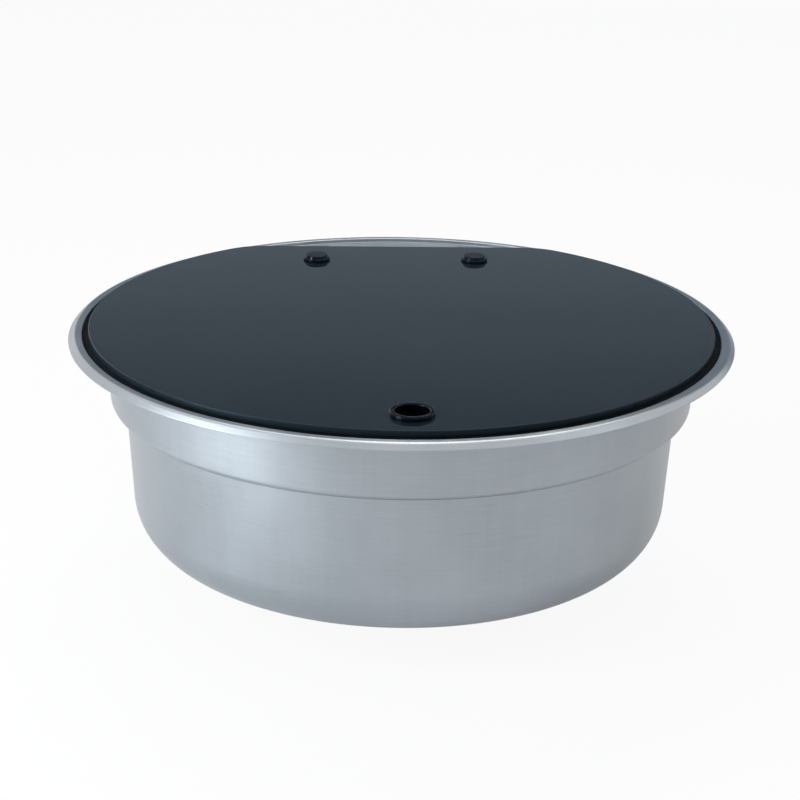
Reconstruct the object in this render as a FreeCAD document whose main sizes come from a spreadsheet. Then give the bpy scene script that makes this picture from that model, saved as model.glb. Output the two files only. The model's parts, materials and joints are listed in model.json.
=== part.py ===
import FreeCAD, Part
import Sketcher
import math
import os
import re

# Round inset sink with a hinged glass lid, a lift-out strainer and a low swivel tap.
# Millimetres. The origin is on the bowl's axis, on the worktop. The front faces -Y, the hinges are at +Y.

doc = FreeCAD.newDocument("RoundInsetSink")
sheet = doc.addObject("Spreadsheet::Sheet", "Sizes")
pieces = []
up = FreeCAD.Vector(0, 0, 1)
near = 1e-4  # lengths closer than this count as equal

# Driving dimensions, one to a cell.
sizes = {
    # pressed steel bowl
    "steel_gauge": 0.8,
    "rim_radius": 210,
    "rim_width": 8.5,
    "rim_height": 3.8,
    "rim_flat": 5.2,
    "rim_lip": 0.5,
    "rim_foot": 0.7,
    "rim_crown_round": 3,
    "rim_edge_round": 0.6,
    "ledge_width": 16.5,
    "bend_round": 1.2,
    "step_width": 9.4,
    "step_depth": 40.5,
    "step_round": 2.5,
    "bowl_draft": 3.2,
    "bowl_depth": 138,
    "floor_round": 34,
    "platform_depth": 87.6,
    "back_corner_extra": 11,
    "crease_round": 3,
    # lid seal and glass
    "seal_width": 12.8,
    "seal_slope": 4.2,
    "seal_edge": 0.9,
    "seal_height": 2.4,
    "seal_side_gap": 0.3,
    "seal_gap_angle": 84,
    "rest_gap": 0.05,
    "glass_edge_gap": 4,
    "glass_thickness": 4,
    "glass_cut": 29.5,
    "glass_corner": 40,
    "glass_arris": 0.5,
    # hinges
    "hinge_spread": 55,
    "hinge_gap": 4,
    "pin_radius": 1.35,
    "pin_play": 0.05,
    "pin_head": 0.6,
    "strip_gauge": 1.2,
    "leaf_width": 18,
    "leaf_eye_width": 4,
    "leaf_front_gap": 3.4,
    "leaf_rim_gap": 2.4,
    "leaf_corner": 3,
    "eye_side_gap": 0.3,
    "arm_corner": 7,
    "arm_overhang": 9,
    "arm_shoulder": 7,
    # caps, bushes, pads and nuts at the two glass holes
    "cap_inset": 34,
    "cap_radius": 9.25,
    "cap_base_height": 1.2,
    "cap_land": 0.95,
    "cap_flare": 0.9,
    "cap_top_height": 2,
    "cap_round": 0.5,
    "stud_radius": 3,
    "stud_play": 0.1,
    "stud_end": 0.8,
    "bush_wall": 1,
    "bush_flange": 0.6,
    "bush_inset": 0.5,
    "pad_radius": 8.5,
    "nut_flats": 10,
    "nut_height": 4,
    # finger ring
    "ring_seal_gap": 3.6,
    "ring_bore": 9.75,
    "ring_land": 3.25,
    "ring_wall": 1.2,
    "ring_height": 3,
    "ring_round": 1.3,
    "ring_hole_play": 0.25,
    "ring_nut_wall": 1.6,
    "ring_nut_height": 1.9,
    "thread_play": 0.05,
    # drain fitting
    "drain_row": 35,
    "drain_recess_gap": 1.1,
    "drain_recess_depth": 2.2,
    "flange_radius": 40.4,
    "flange_gauge": 1,
    "flange_round": 0.6,
    "cup_radius": 21.5,
    "cup_depth": 14,
    "cup_hole_radius": 3,
    "cup_hole_row": 12,
    "cup_hole_count": 6,
    "drain_hole_play": 0.8,
    "top_gasket_height": 1,
    "top_gasket_inset": 1.4,
    "bottom_gasket_height": 1.5,
    "waste_flange_width": 7,
    "waste_flange_height": 3.3,
    "waste_gap": 3,
    "waste_wall": 2.5,
    "waste_drop": 16.5,
    "waste_round": 2,
    "outlet_radius": 10,
    "outlet_wall": 2,
    "outlet_reach": 75,
    "outlet_lift": 2.5,
    "outlet_shoulder": 1.8,
    "outlet_root": 3,
    "boss_radius": 5,
    "screw_radius": 2.5,
    "screw_play": 0.2,
    "screw_head_radius": 4.5,
    "screw_head_height": 2.5,
    "screw_grip": 9,
    # lift-out strainer
    "basket_rim": 27,
    "basket_gauge": 0.8,
    "basket_gap": 1.6,
    "basket_depth": 8.6,
    "basket_hole_radius": 1.9,
    "basket_hole_row": 13.5,
    "basket_hole_count": 12,
    "plug_seal_height": 3,
    "plug_seal_play": 0.3,
    "knob_stem_radius": 2.5,
    "knob_stem_length": 18,
    "knob_foot_radius": 5,
    "knob_foot_height": 1.2,
    "knob_radius": 8,
    "knob_height": 6,
    "knob_round": 2,
    # tap on the rear platform
    "tap_setback": 40,
    "tap_gasket_height": 1.5,
    "tap_gasket_inset": 1,
    "tap_flange_radius": 23,
    "tap_flange_height": 5,
    "tap_flange_round": 2,
    "shank_radius": 13,
    "shank_play": 0.5,
    "shank_length": 34,
    "tail_radius": 5,
    "tail_length": 22,
    "waterway_radius": 3.5,
    "washer_height": 1.5,
    "washer_radius": 20,
    "backnut_flats": 36,
    "backnut_height": 7,
    "stem_radius": 12,
    "running_play": 0.06,
    "running_gap": 0.3,
    "collar_height": 17,
    "collar_wall": 4.5,
    "collar_round": 1,
    "o_ring_radius": 0.8,
    "o_ring_inset": 3,
    "port_radius": 3,
    "cartridge_radius": 8,
    "cartridge_depth": 9,
    "cartridge_flange": 13.5,
    "cartridge_flange_height": 3,
    "spindle_radius": 3,
    "spindle_length": 5,
    # spout and aerator
    "spout_reach": 120,
    "tube_radius": 6.5,
    "tube_wall": 1.2,
    "tube_bend": 9,
    "tube_drop": 2,
    "aerator_lip": 1.6,
    "aerator_bore": 3,
    # handle
    "handle_radius": 14,
    "handle_height": 9.4,
    "handle_round": 1.5,
    "lever_reach": 40,
    "lever_root": 8,
    "lever_tip": 5,
    "lever_end_flat": 0.5,
    "lever_height": 5,
    "handle_web": 1,
    "handle_screw_radius": 1.6,
    "handle_screw_head": 3.5,
    "handle_screw_head_height": 2,
    "handle_screw_grip": 3,
    "handle_well_play": 0.3,
    "handle_plug_height": 1.2,
}

# Heights and radii that follow from the driving dimensions.
derived = {
    "recess_radius": "rim_radius - rim_width",
    "collar_radius": "recess_radius - ledge_width",
    "bowl_radius": "collar_radius - step_width",
    "back_wall": "bowl_radius - platform_depth",
    "back_corner": "floor_round + back_corner_extra",
    "ledge_top": "steel_gauge",
    "platform_under": "0 - step_depth",
    "platform_top": "steel_gauge - step_depth",
    "seal_outer": "recess_radius - seal_side_gap",
    "seal_inner": "seal_outer - seal_width",
    "seal_crown": "seal_outer - seal_slope",
    "seal_top": "ledge_top + seal_height",
    "glass_radius": "recess_radius - glass_edge_gap",
    "glass_back": "glass_radius - glass_cut",
    "glass_bottom": "seal_top + rest_gap",
    "glass_top": "glass_bottom + glass_thickness",
    "hinge_axis_y": "glass_back + hinge_gap",
    "cap_row": "glass_back - cap_inset",
    "eye_bore": "pin_radius + pin_play",
    "eye_radius": "eye_bore + strip_gauge",
    "pin_height": "ledge_top + eye_radius",
    "leaf_half": "leaf_width / 2",
    "leaf_inner": "leaf_half - leaf_eye_width",
    "leaf_front": "hinge_axis_y + eye_radius + leaf_front_gap",
    "leaf_rear": "sqrt((recess_radius - leaf_rim_gap)^2 - (hinge_spread + leaf_half)^2)",
    "arm_half": "leaf_inner - eye_side_gap",
    "arm_top": "ledge_top + strip_gauge",
    "glass_hole": "stud_radius + stud_play + bush_wall + stud_play",
    "cap_foot_radius": "cap_radius - cap_land",
    "cap_top_radius": "cap_foot_radius - cap_flare",
    "cap_bottom": "glass_top + bush_flange",
    "cap_step": "cap_bottom + cap_base_height",
    "cap_top": "cap_step + cap_top_height",
    "nut_bottom": "ledge_top - nut_height",
    "ring_barrel": "ring_bore + ring_wall",
    "ring_hole": "ring_barrel + ring_hole_play",
    "ring_nut_radius": "ring_hole + ring_nut_wall",
    "ring_row": "seal_inner - ring_seal_gap - ring_nut_radius",
    "ring_radius": "ring_bore + ring_land",
    "ring_top": "glass_top + ring_height",
    "ring_bottom": "glass_bottom - ring_nut_height",
    "floor_top": "steel_gauge - bowl_depth",
    "recess_floor": "floor_top - drain_recess_depth",
    "recess_under": "recess_floor - steel_gauge",
    "drain_recess_radius": "flange_radius + drain_recess_gap",
    "drain_hole": "cup_radius + drain_hole_play",
    "flange_bottom": "recess_floor + top_gasket_height",
    "flange_top": "flange_bottom + flange_gauge",
    "cup_bottom": "flange_bottom - cup_depth",
    "cup_floor": "cup_bottom + flange_gauge",
    "cup_bore": "cup_radius - flange_gauge",
    "screw_hole": "screw_radius + screw_play",
    "waste_top": "recess_under - bottom_gasket_height",
    "waste_bottom": "cup_bottom - waste_drop",
    "waste_radius": "cup_radius + waste_gap + waste_wall",
    "waste_flange_radius": "waste_radius + waste_flange_width",
    "outlet_height": "waste_bottom + outlet_lift + outlet_radius",
    "basket_seat": "flange_top + rest_gap",
    "basket_top": "basket_seat + basket_gauge",
    "basket_bottom": "basket_seat - basket_depth",
    "basket_floor": "basket_bottom + basket_gauge",
    "basket_radius": "cup_bore - basket_gap",
    "basket_bore": "basket_radius - basket_gauge",
    "knob_base": "basket_floor + knob_foot_height",
    "knob_bottom": "knob_base + knob_stem_length",
    "tap_row": "back_wall + tap_setback",
    "shank_hole": "shank_radius + shank_play",
    "tap_seat": "platform_top + tap_gasket_height",
    "tap_flange_top": "tap_seat + tap_flange_height",
    "washer_bottom": "platform_under - washer_height",
    "backnut_bottom": "washer_bottom - backnut_height",
    "shank_bottom": "tap_seat - shank_length",
    "tail_bottom": "shank_bottom - tail_length",
    "collar_bottom": "tap_flange_top + running_gap",
    "collar_top": "collar_bottom + collar_height",
    "collar_bore": "stem_radius + running_play",
    "collar_outer": "collar_bore + collar_wall",
    "stem_top": "collar_top + running_gap",
    "groove_radius": "stem_radius - 2 * o_ring_radius",
    "lower_ring": "collar_bottom + o_ring_inset",
    "upper_ring": "collar_top - o_ring_inset",
    "port_height": "(collar_bottom + collar_top) / 2",
    "cartridge_bottom": "stem_top - cartridge_depth",
    "cartridge_top": "stem_top + cartridge_flange_height",
    "handle_bottom": "cartridge_top + running_gap",
    "handle_top": "handle_bottom + handle_height",
    "spindle_top": "handle_bottom + spindle_length",
    "tube_end": "port_height - tube_bend - tube_drop",
    "tube_bore": "tube_radius - tube_wall",
    "handle_well": "handle_screw_head + handle_well_play",
    "well_bottom": "spindle_top + handle_web",
}


def ex(text):
    """Turn a formula of size names into one that the document's sheet can work out."""
    def swap(match):
        word = match.group(0)
        if word in derived:
            return "(" + ex(derived[word]) + ")"
        return "Sizes." + word if word in sizes else word
    return re.sub(r"[a-z_]+", swap, text)


def number(text):
    return float(sheet.evalExpression(ex(text)))


def fill_sheet():
    for row, (name, size) in enumerate(sizes.items(), 1):
        sheet.set("A%d" % row, name)
        sheet.set("B%d" % row, str(size))
        sheet.setAlias("B%d" % row, name)
    doc.recompute()


def new_body(label):
    body = doc.addObject("PartDesign::Body", label)
    body.Label = label
    pieces.append(body)
    return body


def place(body, x="0", y="0", z="0", turn=None):
    if turn:
        body.Placement = FreeCAD.Placement(FreeCAD.Vector(), turn)
    for axis, text in (("x", x), ("y", y), ("z", z)):
        body.setExpression("Placement.Base." + axis, ex(text))
    return body


def new_sketch(body, name, role, offset="0"):
    plane = [each for each in body.Origin.OriginFeatures if each.Role == role][0]
    sketch = body.newObject("Sketcher::SketchObject", name)
    sketch.AttachmentSupport = [(plane, "")]
    sketch.MapMode = "FlatFace"
    sketch.setExpression("AttachmentOffset.Base.z", ex(offset))
    return sketch


def hold(sketch, kind, *where):
    """Add a constraint whose last argument is a formula of size names."""
    text = where[-1]
    index = sketch.addConstraint(Sketcher.Constraint(kind, *where[:-1], number(text)))
    sketch.setExpression("Constraints[%d]" % index, ex(text))


def outline(sketch, corners):
    """A closed outline of straight edges through corners given as formulas."""
    spots = [FreeCAD.Vector(number(x), number(y), 0) for x, y in corners]
    first = sketch.GeometryCount
    count = len(spots)
    for i in range(count):
        sketch.addGeometry(Part.LineSegment(spots[i], spots[(i + 1) % count]), False)
    for i in range(count):
        sketch.addConstraint(Sketcher.Constraint("Coincident", first + i, 2, first + (i + 1) % count, 1))
    for i, (x, y) in enumerate(corners):
        hold(sketch, "DistanceX", first + i, 1, x)
        hold(sketch, "DistanceY", first + i, 1, y)


def circle(sketch, radius, x="0", y="0"):
    centre = FreeCAD.Vector(number(x), number(y), 0)
    index = sketch.addGeometry(Part.Circle(centre, up, number(radius)), False)
    hold(sketch, "DistanceX", index, 3, x)
    hold(sketch, "DistanceY", index, 3, y)
    hold(sketch, "Radius", index, radius)


def flat_backed_round(sketch, radius, back, corner):
    """A round outline about the origin, cut straight across at the back, with rounded corners."""
    big, chord, small = number(radius), number(back), number(corner)
    high = chord - small
    wide = math.sqrt((big - small) ** 2 - high ** 2)
    lean = math.atan2(high, wide)
    front = Part.Circle(FreeCAD.Vector(), up, big)
    right = Part.Circle(FreeCAD.Vector(wide, high, 0), up, small)
    left = Part.Circle(FreeCAD.Vector(-wide, high, 0), up, small)
    straight = Part.LineSegment(FreeCAD.Vector(wide, chord, 0), FreeCAD.Vector(-wide, chord, 0))
    sketch.addGeometry(Part.ArcOfCircle(front, math.pi - lean, 2 * math.pi + lean), False)
    sketch.addGeometry(Part.ArcOfCircle(right, lean, math.pi / 2), False)
    sketch.addGeometry(straight, False)
    sketch.addGeometry(Part.ArcOfCircle(left, math.pi / 2, math.pi - lean), False)
    sketch.addConstraint(Sketcher.Constraint("Coincident", 0, 3, -1, 1))
    for edge in range(4):
        sketch.addConstraint(Sketcher.Constraint("Tangent", edge, 2, (edge + 1) % 4, 1))
    sketch.addConstraint(Sketcher.Constraint("Horizontal", 2))
    hold(sketch, "Radius", 0, radius)
    hold(sketch, "Radius", 1, corner)
    hold(sketch, "Radius", 3, corner)
    hold(sketch, "DistanceY", 2, 1, back)


def extrude(body, kind, name, sketch, length, **settings):
    feature = body.newObject("PartDesign::" + kind, name)
    feature.Profile = sketch
    if length == "through":
        feature.Type = "ThroughAll"
    else:
        feature.setExpression("Length", ex(length))
    for setting, wanted in settings.items():
        if isinstance(wanted, str):
            feature.setExpression(setting, ex(wanted))
        else:
            setattr(feature, setting, wanted)
    doc.recompute()
    return feature


def revolve(body, name, sketch, kind="Revolution"):
    feature = body.newObject("PartDesign::" + kind, name)
    feature.Profile = sketch
    feature.ReferenceAxis = (sketch, ["V_Axis"])
    feature.Angle = 360
    doc.recompute()
    return feature


def turned(label, corners, x="0", y="0"):
    """A piece turned about its own vertical axis from a profile of radius and height."""
    body = new_body(label)
    sketch = new_sketch(body, label + "_profile", "XZ_Plane")
    outline(sketch, corners)
    revolve(body, label + "_turn", sketch)
    return place(body, x, y)


def ring(label, inner, outer, low, high, x="0", y="0"):
    return turned(label, [(inner, low), (outer, low), (outer, high), (inner, high)], x, y)


def rings_at(body, spots):
    """Names of the round edges about the vertical axis, at each radius and height."""
    found = []
    for index, edge in enumerate(body.Tip.Shape.Edges, 1):
        if not isinstance(edge.Curve, Part.Circle):
            continue
        centre = edge.Curve.Center
        for radius, height in spots:
            same = abs(edge.Curve.Radius - number(radius)) < near and abs(centre.z - number(height)) < near
            if same and math.hypot(centre.x, centre.y) < near:
                found.append("Edge%d" % index)
    return found


def level_edges(body, height, keep=lambda edge: True):
    """Names of the edges that lie flat at a height and that the test keeps."""
    found = []
    level = number(height)
    for index, edge in enumerate(body.Tip.Shape.Edges, 1):
        box = edge.BoundBox
        if abs(box.ZMin - level) < near and abs(box.ZMax - level) < near and keep(edge):
            found.append("Edge%d" % index)
    return found


def upright_edges(body, keep):
    """Names of the straight upright edges whose place the test keeps."""
    found = []
    for index, edge in enumerate(body.Tip.Shape.Edges, 1):
        box = edge.BoundBox
        if box.ZLength > near and box.XLength < near and box.YLength < near and keep(box.Center):
            found.append("Edge%d" % index)
    return found


def soften(body, kind, name, edges, size):
    base = body.Tip
    feature = body.newObject("PartDesign::" + kind, name)
    feature.Base = (base, edges)
    feature.setExpression("Radius" if kind == "Fillet" else "Size", ex(size))
    doc.recompute()
    return feature


def round_rings(body, name, spots, radius):
    return soften(body, "Fillet", name, rings_at(body, spots), radius)


def spin_copies(body, name, feature, count):
    pattern = body.newObject("PartDesign::PolarPattern", name)
    pattern.Originals = [feature]
    pattern.Axis = (feature.Profile[0], ["N_Axis"])
    pattern.Angle = 360
    pattern.setExpression("Occurrences", ex(count))
    body.Tip = pattern
    doc.recompute()


def bowl_shell():
    body = new_body("bowl_shell")
    sketch = new_sketch(body, "rim_profile", "XZ_Plane")
    outline(sketch, [
        ("0", "platform_under"),
        ("collar_radius", "platform_under"),
        ("collar_radius", "0"),
        ("recess_radius + steel_gauge", "0"),
        ("recess_radius + steel_gauge", "rim_height - steel_gauge"),
        ("recess_radius + rim_flat - steel_gauge / 2", "rim_height - steel_gauge"),
        ("rim_radius - rim_foot", "0"),
        ("rim_radius", "0"),
        ("rim_radius", "rim_lip"),
        ("recess_radius + rim_flat", "rim_height"),
        ("recess_radius", "rim_height"),
        ("recess_radius", "ledge_top"),
        ("collar_radius - steel_gauge", "ledge_top"),
        ("collar_radius - steel_gauge", "platform_top"),
        ("0", "platform_top"),
    ])
    revolve(body, "rim_and_step", sketch)

    outer = new_sketch(body, "bowl_outline", "XY_Plane", "platform_under")
    flat_backed_round(outer, "bowl_radius", "back_wall", "back_corner")
    extrude(body, "Pad", "bowl_outside", outer, "bowl_depth - step_depth",
            Reversed=True, TaperAngle="0 - bowl_draft")

    inner = new_sketch(body, "hollow_outline", "XY_Plane", "platform_top")
    flat_backed_round(inner, "bowl_radius - steel_gauge", "back_wall - steel_gauge",
                      "back_corner - steel_gauge")
    extrude(body, "Pocket", "bowl_inside", inner, "bowl_depth - step_depth", TaperAngle="0 - bowl_draft")
    soften(body, "Fillet", "floor_inside", level_edges(body, "floor_top"), "floor_round - steel_gauge")
    soften(body, "Fillet", "floor_outside", level_edges(body, "0 - bowl_depth"), "floor_round")

    midway = number("(bowl_radius + collar_radius) / 2")
    mouth = level_edges(body, "platform_top", lambda edge: edge.BoundBox.XMax < midway)
    soften(body, "Fillet", "mouth_round", mouth, "crease_round + steel_gauge")
    crease = level_edges(body, "platform_under", lambda edge: edge.BoundBox.XMax < midway)
    soften(body, "Fillet", "crease", crease, "crease_round")

    inner_wall = "collar_radius - steel_gauge"
    round_rings(body, "step_outside", [("collar_radius", "platform_under")], "step_round")
    round_rings(body, "step_inside", [(inner_wall, "platform_top")], "step_round - steel_gauge")
    round_rings(body, "collar_outside", [("collar_radius", "0")], "bend_round")
    round_rings(body, "collar_inside", [(inner_wall, "ledge_top")], "bend_round + steel_gauge")
    round_rings(body, "recess_corner", [("recess_radius", "ledge_top")], "bend_round - steel_gauge / 2")
    round_rings(body, "rim_crown", [("recess_radius + rim_flat", "rim_height")], "rim_crown_round")
    under_crown = [("recess_radius + rim_flat - steel_gauge / 2", "rim_height - steel_gauge")]
    round_rings(body, "rim_under_crown", under_crown, "rim_crown_round - steel_gauge")
    round_rings(body, "rim_edge", [("recess_radius", "rim_height")], "rim_edge_round")

    dish = new_sketch(body, "drain_dish_outline", "XY_Plane", "recess_under")
    circle(dish, "drain_recess_radius + steel_gauge", "0", "0 - drain_row")
    extrude(body, "Pad", "drain_dish", dish, "drain_recess_depth + steel_gauge")
    sunk = new_sketch(body, "drain_recess_outline", "XY_Plane", "floor_top")
    circle(sunk, "drain_recess_radius", "0", "0 - drain_row")
    extrude(body, "Pocket", "drain_recess", sunk, "drain_recess_depth")
    hole = new_sketch(body, "drain_hole_outline", "XY_Plane", "floor_top")
    circle(hole, "drain_hole", "0", "0 - drain_row")
    extrude(body, "Pocket", "drain_hole_cut", hole, "through")
    tap = new_sketch(body, "tap_hole_outline", "XY_Plane", "platform_top")
    circle(tap, "shank_hole", "0", "tap_row")
    extrude(body, "Pocket", "tap_hole_cut", tap, "through")


def lid_seal():
    body = new_body("lid_seal")
    sketch = new_sketch(body, "seal_profile", "YZ_Plane")
    outline(sketch, [
        ("seal_edge - seal_outer", "ledge_top"),
        ("0 - seal_outer", "ledge_top + seal_edge"),
        ("0 - seal_crown", "seal_top"),
        ("0 - seal_inner - seal_edge", "seal_top"),
        ("0 - seal_inner", "seal_top - seal_edge"),
        ("0 - seal_inner", "ledge_top"),
    ])
    sweep = revolve(body, "seal_sweep", sketch)
    sweep.Midplane = True
    sweep.setExpression("Angle", ex("360 - seal_gap_angle"))
    doc.recompute()


def lid_glass():
    body = new_body("lid_glass")
    sketch = new_sketch(body, "glass_outline", "XY_Plane", "glass_bottom")
    flat_backed_round(sketch, "glass_radius", "glass_back", "glass_corner")
    extrude(body, "Pad", "glass_plate", sketch, "glass_thickness")
    holes = new_sketch(body, "glass_holes", "XY_Plane", "glass_top")
    circle(holes, "ring_hole", "0", "0 - ring_row")
    circle(holes, "glass_hole", "hinge_spread", "cap_row")
    circle(holes, "glass_hole", "0 - hinge_spread", "cap_row")
    extrude(body, "Pocket", "glass_holes_cut", holes, "through")
    edges = level_edges(body, "glass_top") + level_edges(body, "glass_bottom")
    soften(body, "Chamfer", "arris", edges, "glass_arris")


def hinge_leaf(label, x):
    body = new_body(label)
    plate = new_sketch(body, label + "_outline", "XY_Plane", "ledge_top")
    outline(plate, [
        ("0 - leaf_half", "hinge_axis_y"),
        ("0 - leaf_inner", "hinge_axis_y"),
        ("0 - leaf_inner", "leaf_front"),
        ("leaf_inner", "leaf_front"),
        ("leaf_inner", "hinge_axis_y"),
        ("leaf_half", "hinge_axis_y"),
        ("leaf_half", "leaf_rear"),
        ("0 - leaf_half", "leaf_rear"),
    ])
    extrude(body, "Pad", label + "_plate", plate, "strip_gauge")
    rear = number("leaf_rear")
    soften(body, "Fillet", label + "_corners",
           upright_edges(body, lambda spot: abs(spot.y - rear) < near), "leaf_corner")
    eye = new_sketch(body, label + "_eye", "YZ_Plane")
    circle(eye, "eye_radius", "hinge_axis_y", "pin_height")
    extrude(body, "Pad", label + "_barrel", eye, "leaf_width", Midplane=True)
    notch = new_sketch(body, label + "_notch", "XY_Plane", "ledge_top")
    outline(notch, [
        ("0 - leaf_inner", "hinge_axis_y - leaf_half"),
        ("leaf_inner", "hinge_axis_y - leaf_half"),
        ("leaf_inner", "leaf_front"),
        ("0 - leaf_inner", "leaf_front"),
    ])
    extrude(body, "Pocket", label + "_gap", notch, "through", Reversed=True)
    bore = new_sketch(body, label + "_bore", "YZ_Plane")
    circle(bore, "eye_bore", "hinge_axis_y", "pin_height")
    extrude(body, "Pocket", label + "_hole", bore, "through", Midplane=True)
    place(body, x)


def hinge_arm(label, x):
    body = new_body(label)
    strip = new_sketch(body, label + "_outline", "XY_Plane", "ledge_top")
    outline(strip, [
        ("0 - leaf_half", "cap_row - arm_overhang"),
        ("leaf_half", "cap_row - arm_overhang"),
        ("leaf_half", "hinge_axis_y - arm_shoulder"),
        ("arm_half", "hinge_axis_y - arm_shoulder / 2"),
        ("arm_half", "hinge_axis_y"),
        ("0 - arm_half", "hinge_axis_y"),
        ("0 - arm_half", "hinge_axis_y - arm_shoulder / 2"),
        ("0 - leaf_half", "hinge_axis_y - arm_shoulder"),
    ])
    extrude(body, "Pad", label + "_strip", strip, "strip_gauge")
    front = number("cap_row - arm_overhang")
    soften(body, "Fillet", label + "_corners",
           upright_edges(body, lambda spot: abs(spot.y - front) < near), "arm_corner")
    eye = new_sketch(body, label + "_eye", "YZ_Plane")
    circle(eye, "eye_radius", "hinge_axis_y", "pin_height")
    extrude(body, "Pad", label + "_barrel", eye, "2 * arm_half", Midplane=True)
    bore = new_sketch(body, label + "_bore", "YZ_Plane")
    circle(bore, "eye_bore", "hinge_axis_y", "pin_height")
    extrude(body, "Pocket", label + "_hole", bore, "through", Midplane=True)
    stud = new_sketch(body, label + "_stud", "XY_Plane", "arm_top")
    circle(stud, "stud_radius + stud_play", "0", "cap_row")
    extrude(body, "Pocket", label + "_stud_hole", stud, "through")
    place(body, x)


def hinge_pin(label, x):
    half, end = "leaf_half + pin_play", "leaf_half + pin_play + pin_head"
    body = turned(label, [
        ("0", "0 - (%s)" % end),
        ("eye_bore + pin_head / 2", "0 - (%s)" % end),
        ("eye_bore + pin_head / 2", "0 - (%s)" % half),
        ("pin_radius", "0 - (%s)" % half),
        ("pin_radius", half),
        ("eye_bore + pin_head / 2", half),
        ("eye_bore + pin_head / 2", end),
        ("0", end),
    ])
    place(body, x, "hinge_axis_y", "pin_height", FreeCAD.Rotation(FreeCAD.Vector(0, 1, 0), 90))


def hinge_cap(label, x):
    body = turned(label, [
        ("0", "nut_bottom - stud_end"),
        ("stud_radius", "nut_bottom - stud_end"),
        ("stud_radius", "cap_bottom"),
        ("cap_radius", "cap_bottom"),
        ("cap_radius", "cap_step"),
        ("cap_foot_radius", "cap_step"),
        ("cap_top_radius", "cap_top"),
        ("0", "cap_top"),
    ], x, "cap_row")
    rims = [("cap_radius", "cap_step"), ("cap_top_radius", "cap_top")]
    round_rings(body, label + "_edges", rims, "cap_round")


def glass_bush(label, x):
    turned(label, [
        ("stud_radius + stud_play", "glass_bottom"),
        ("glass_hole - stud_play", "glass_bottom"),
        ("glass_hole - stud_play", "glass_top"),
        ("cap_radius - bush_inset", "glass_top"),
        ("cap_radius - bush_inset", "cap_bottom"),
        ("stud_radius + stud_play", "cap_bottom"),
    ], x, "cap_row")


def hex_nut(label, flats, bore, low, height, x="0", y="0"):
    """A six-sided nut with a plain bore."""
    body = new_body(label)
    sketch = new_sketch(body, label + "_outline", "XY_Plane", low)
    half, long_half = "(%s) / 2" % flats, "(%s) / sqrt(3)" % flats
    outline(sketch, [
        (long_half, "0"),
        (long_half + " / 2", half),
        ("0 - %s / 2" % long_half, half),
        ("0 - " + long_half, "0"),
        ("0 - %s / 2" % long_half, "0 - " + half),
        (long_half + " / 2", "0 - " + half),
    ])
    circle(sketch, bore)
    extrude(body, "Pad", label + "_block", sketch, height)
    place(body, x, y)


def lid_fittings():
    for side, x in (("left", "0 - hinge_spread"), ("right", "hinge_spread")):
        hinge_leaf("hinge_leaf_" + side, x)
        hinge_pin("hinge_pin_" + side, x)
        hinge_arm("hinge_arm_" + side, x)
        hinge_cap("hinge_cap_" + side, x)
        glass_bush("glass_bush_" + side, x)
        ring("arm_pad_" + side, "stud_radius + stud_play", "pad_radius", "arm_top", "glass_bottom",
             x, "cap_row")
        hex_nut("cap_nut_" + side, "nut_flats", "stud_radius + thread_play", "nut_bottom", "nut_height",
                x, "cap_row")


def finger_ring():
    body = turned("finger_ring", [
        ("ring_bore", "ring_bottom"),
        ("ring_barrel", "ring_bottom"),
        ("ring_barrel", "glass_top"),
        ("ring_radius", "glass_top"),
        ("ring_radius", "ring_top"),
        ("ring_bore", "ring_top"),
    ], "0", "0 - ring_row")
    round_rings(body, "ring_edges", [("ring_radius", "ring_top"), ("ring_bore", "ring_top")], "ring_round")
    ring("finger_ring_nut", "ring_barrel + thread_play", "ring_nut_radius", "ring_bottom",
         "glass_bottom", "0", "0 - ring_row")


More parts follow.
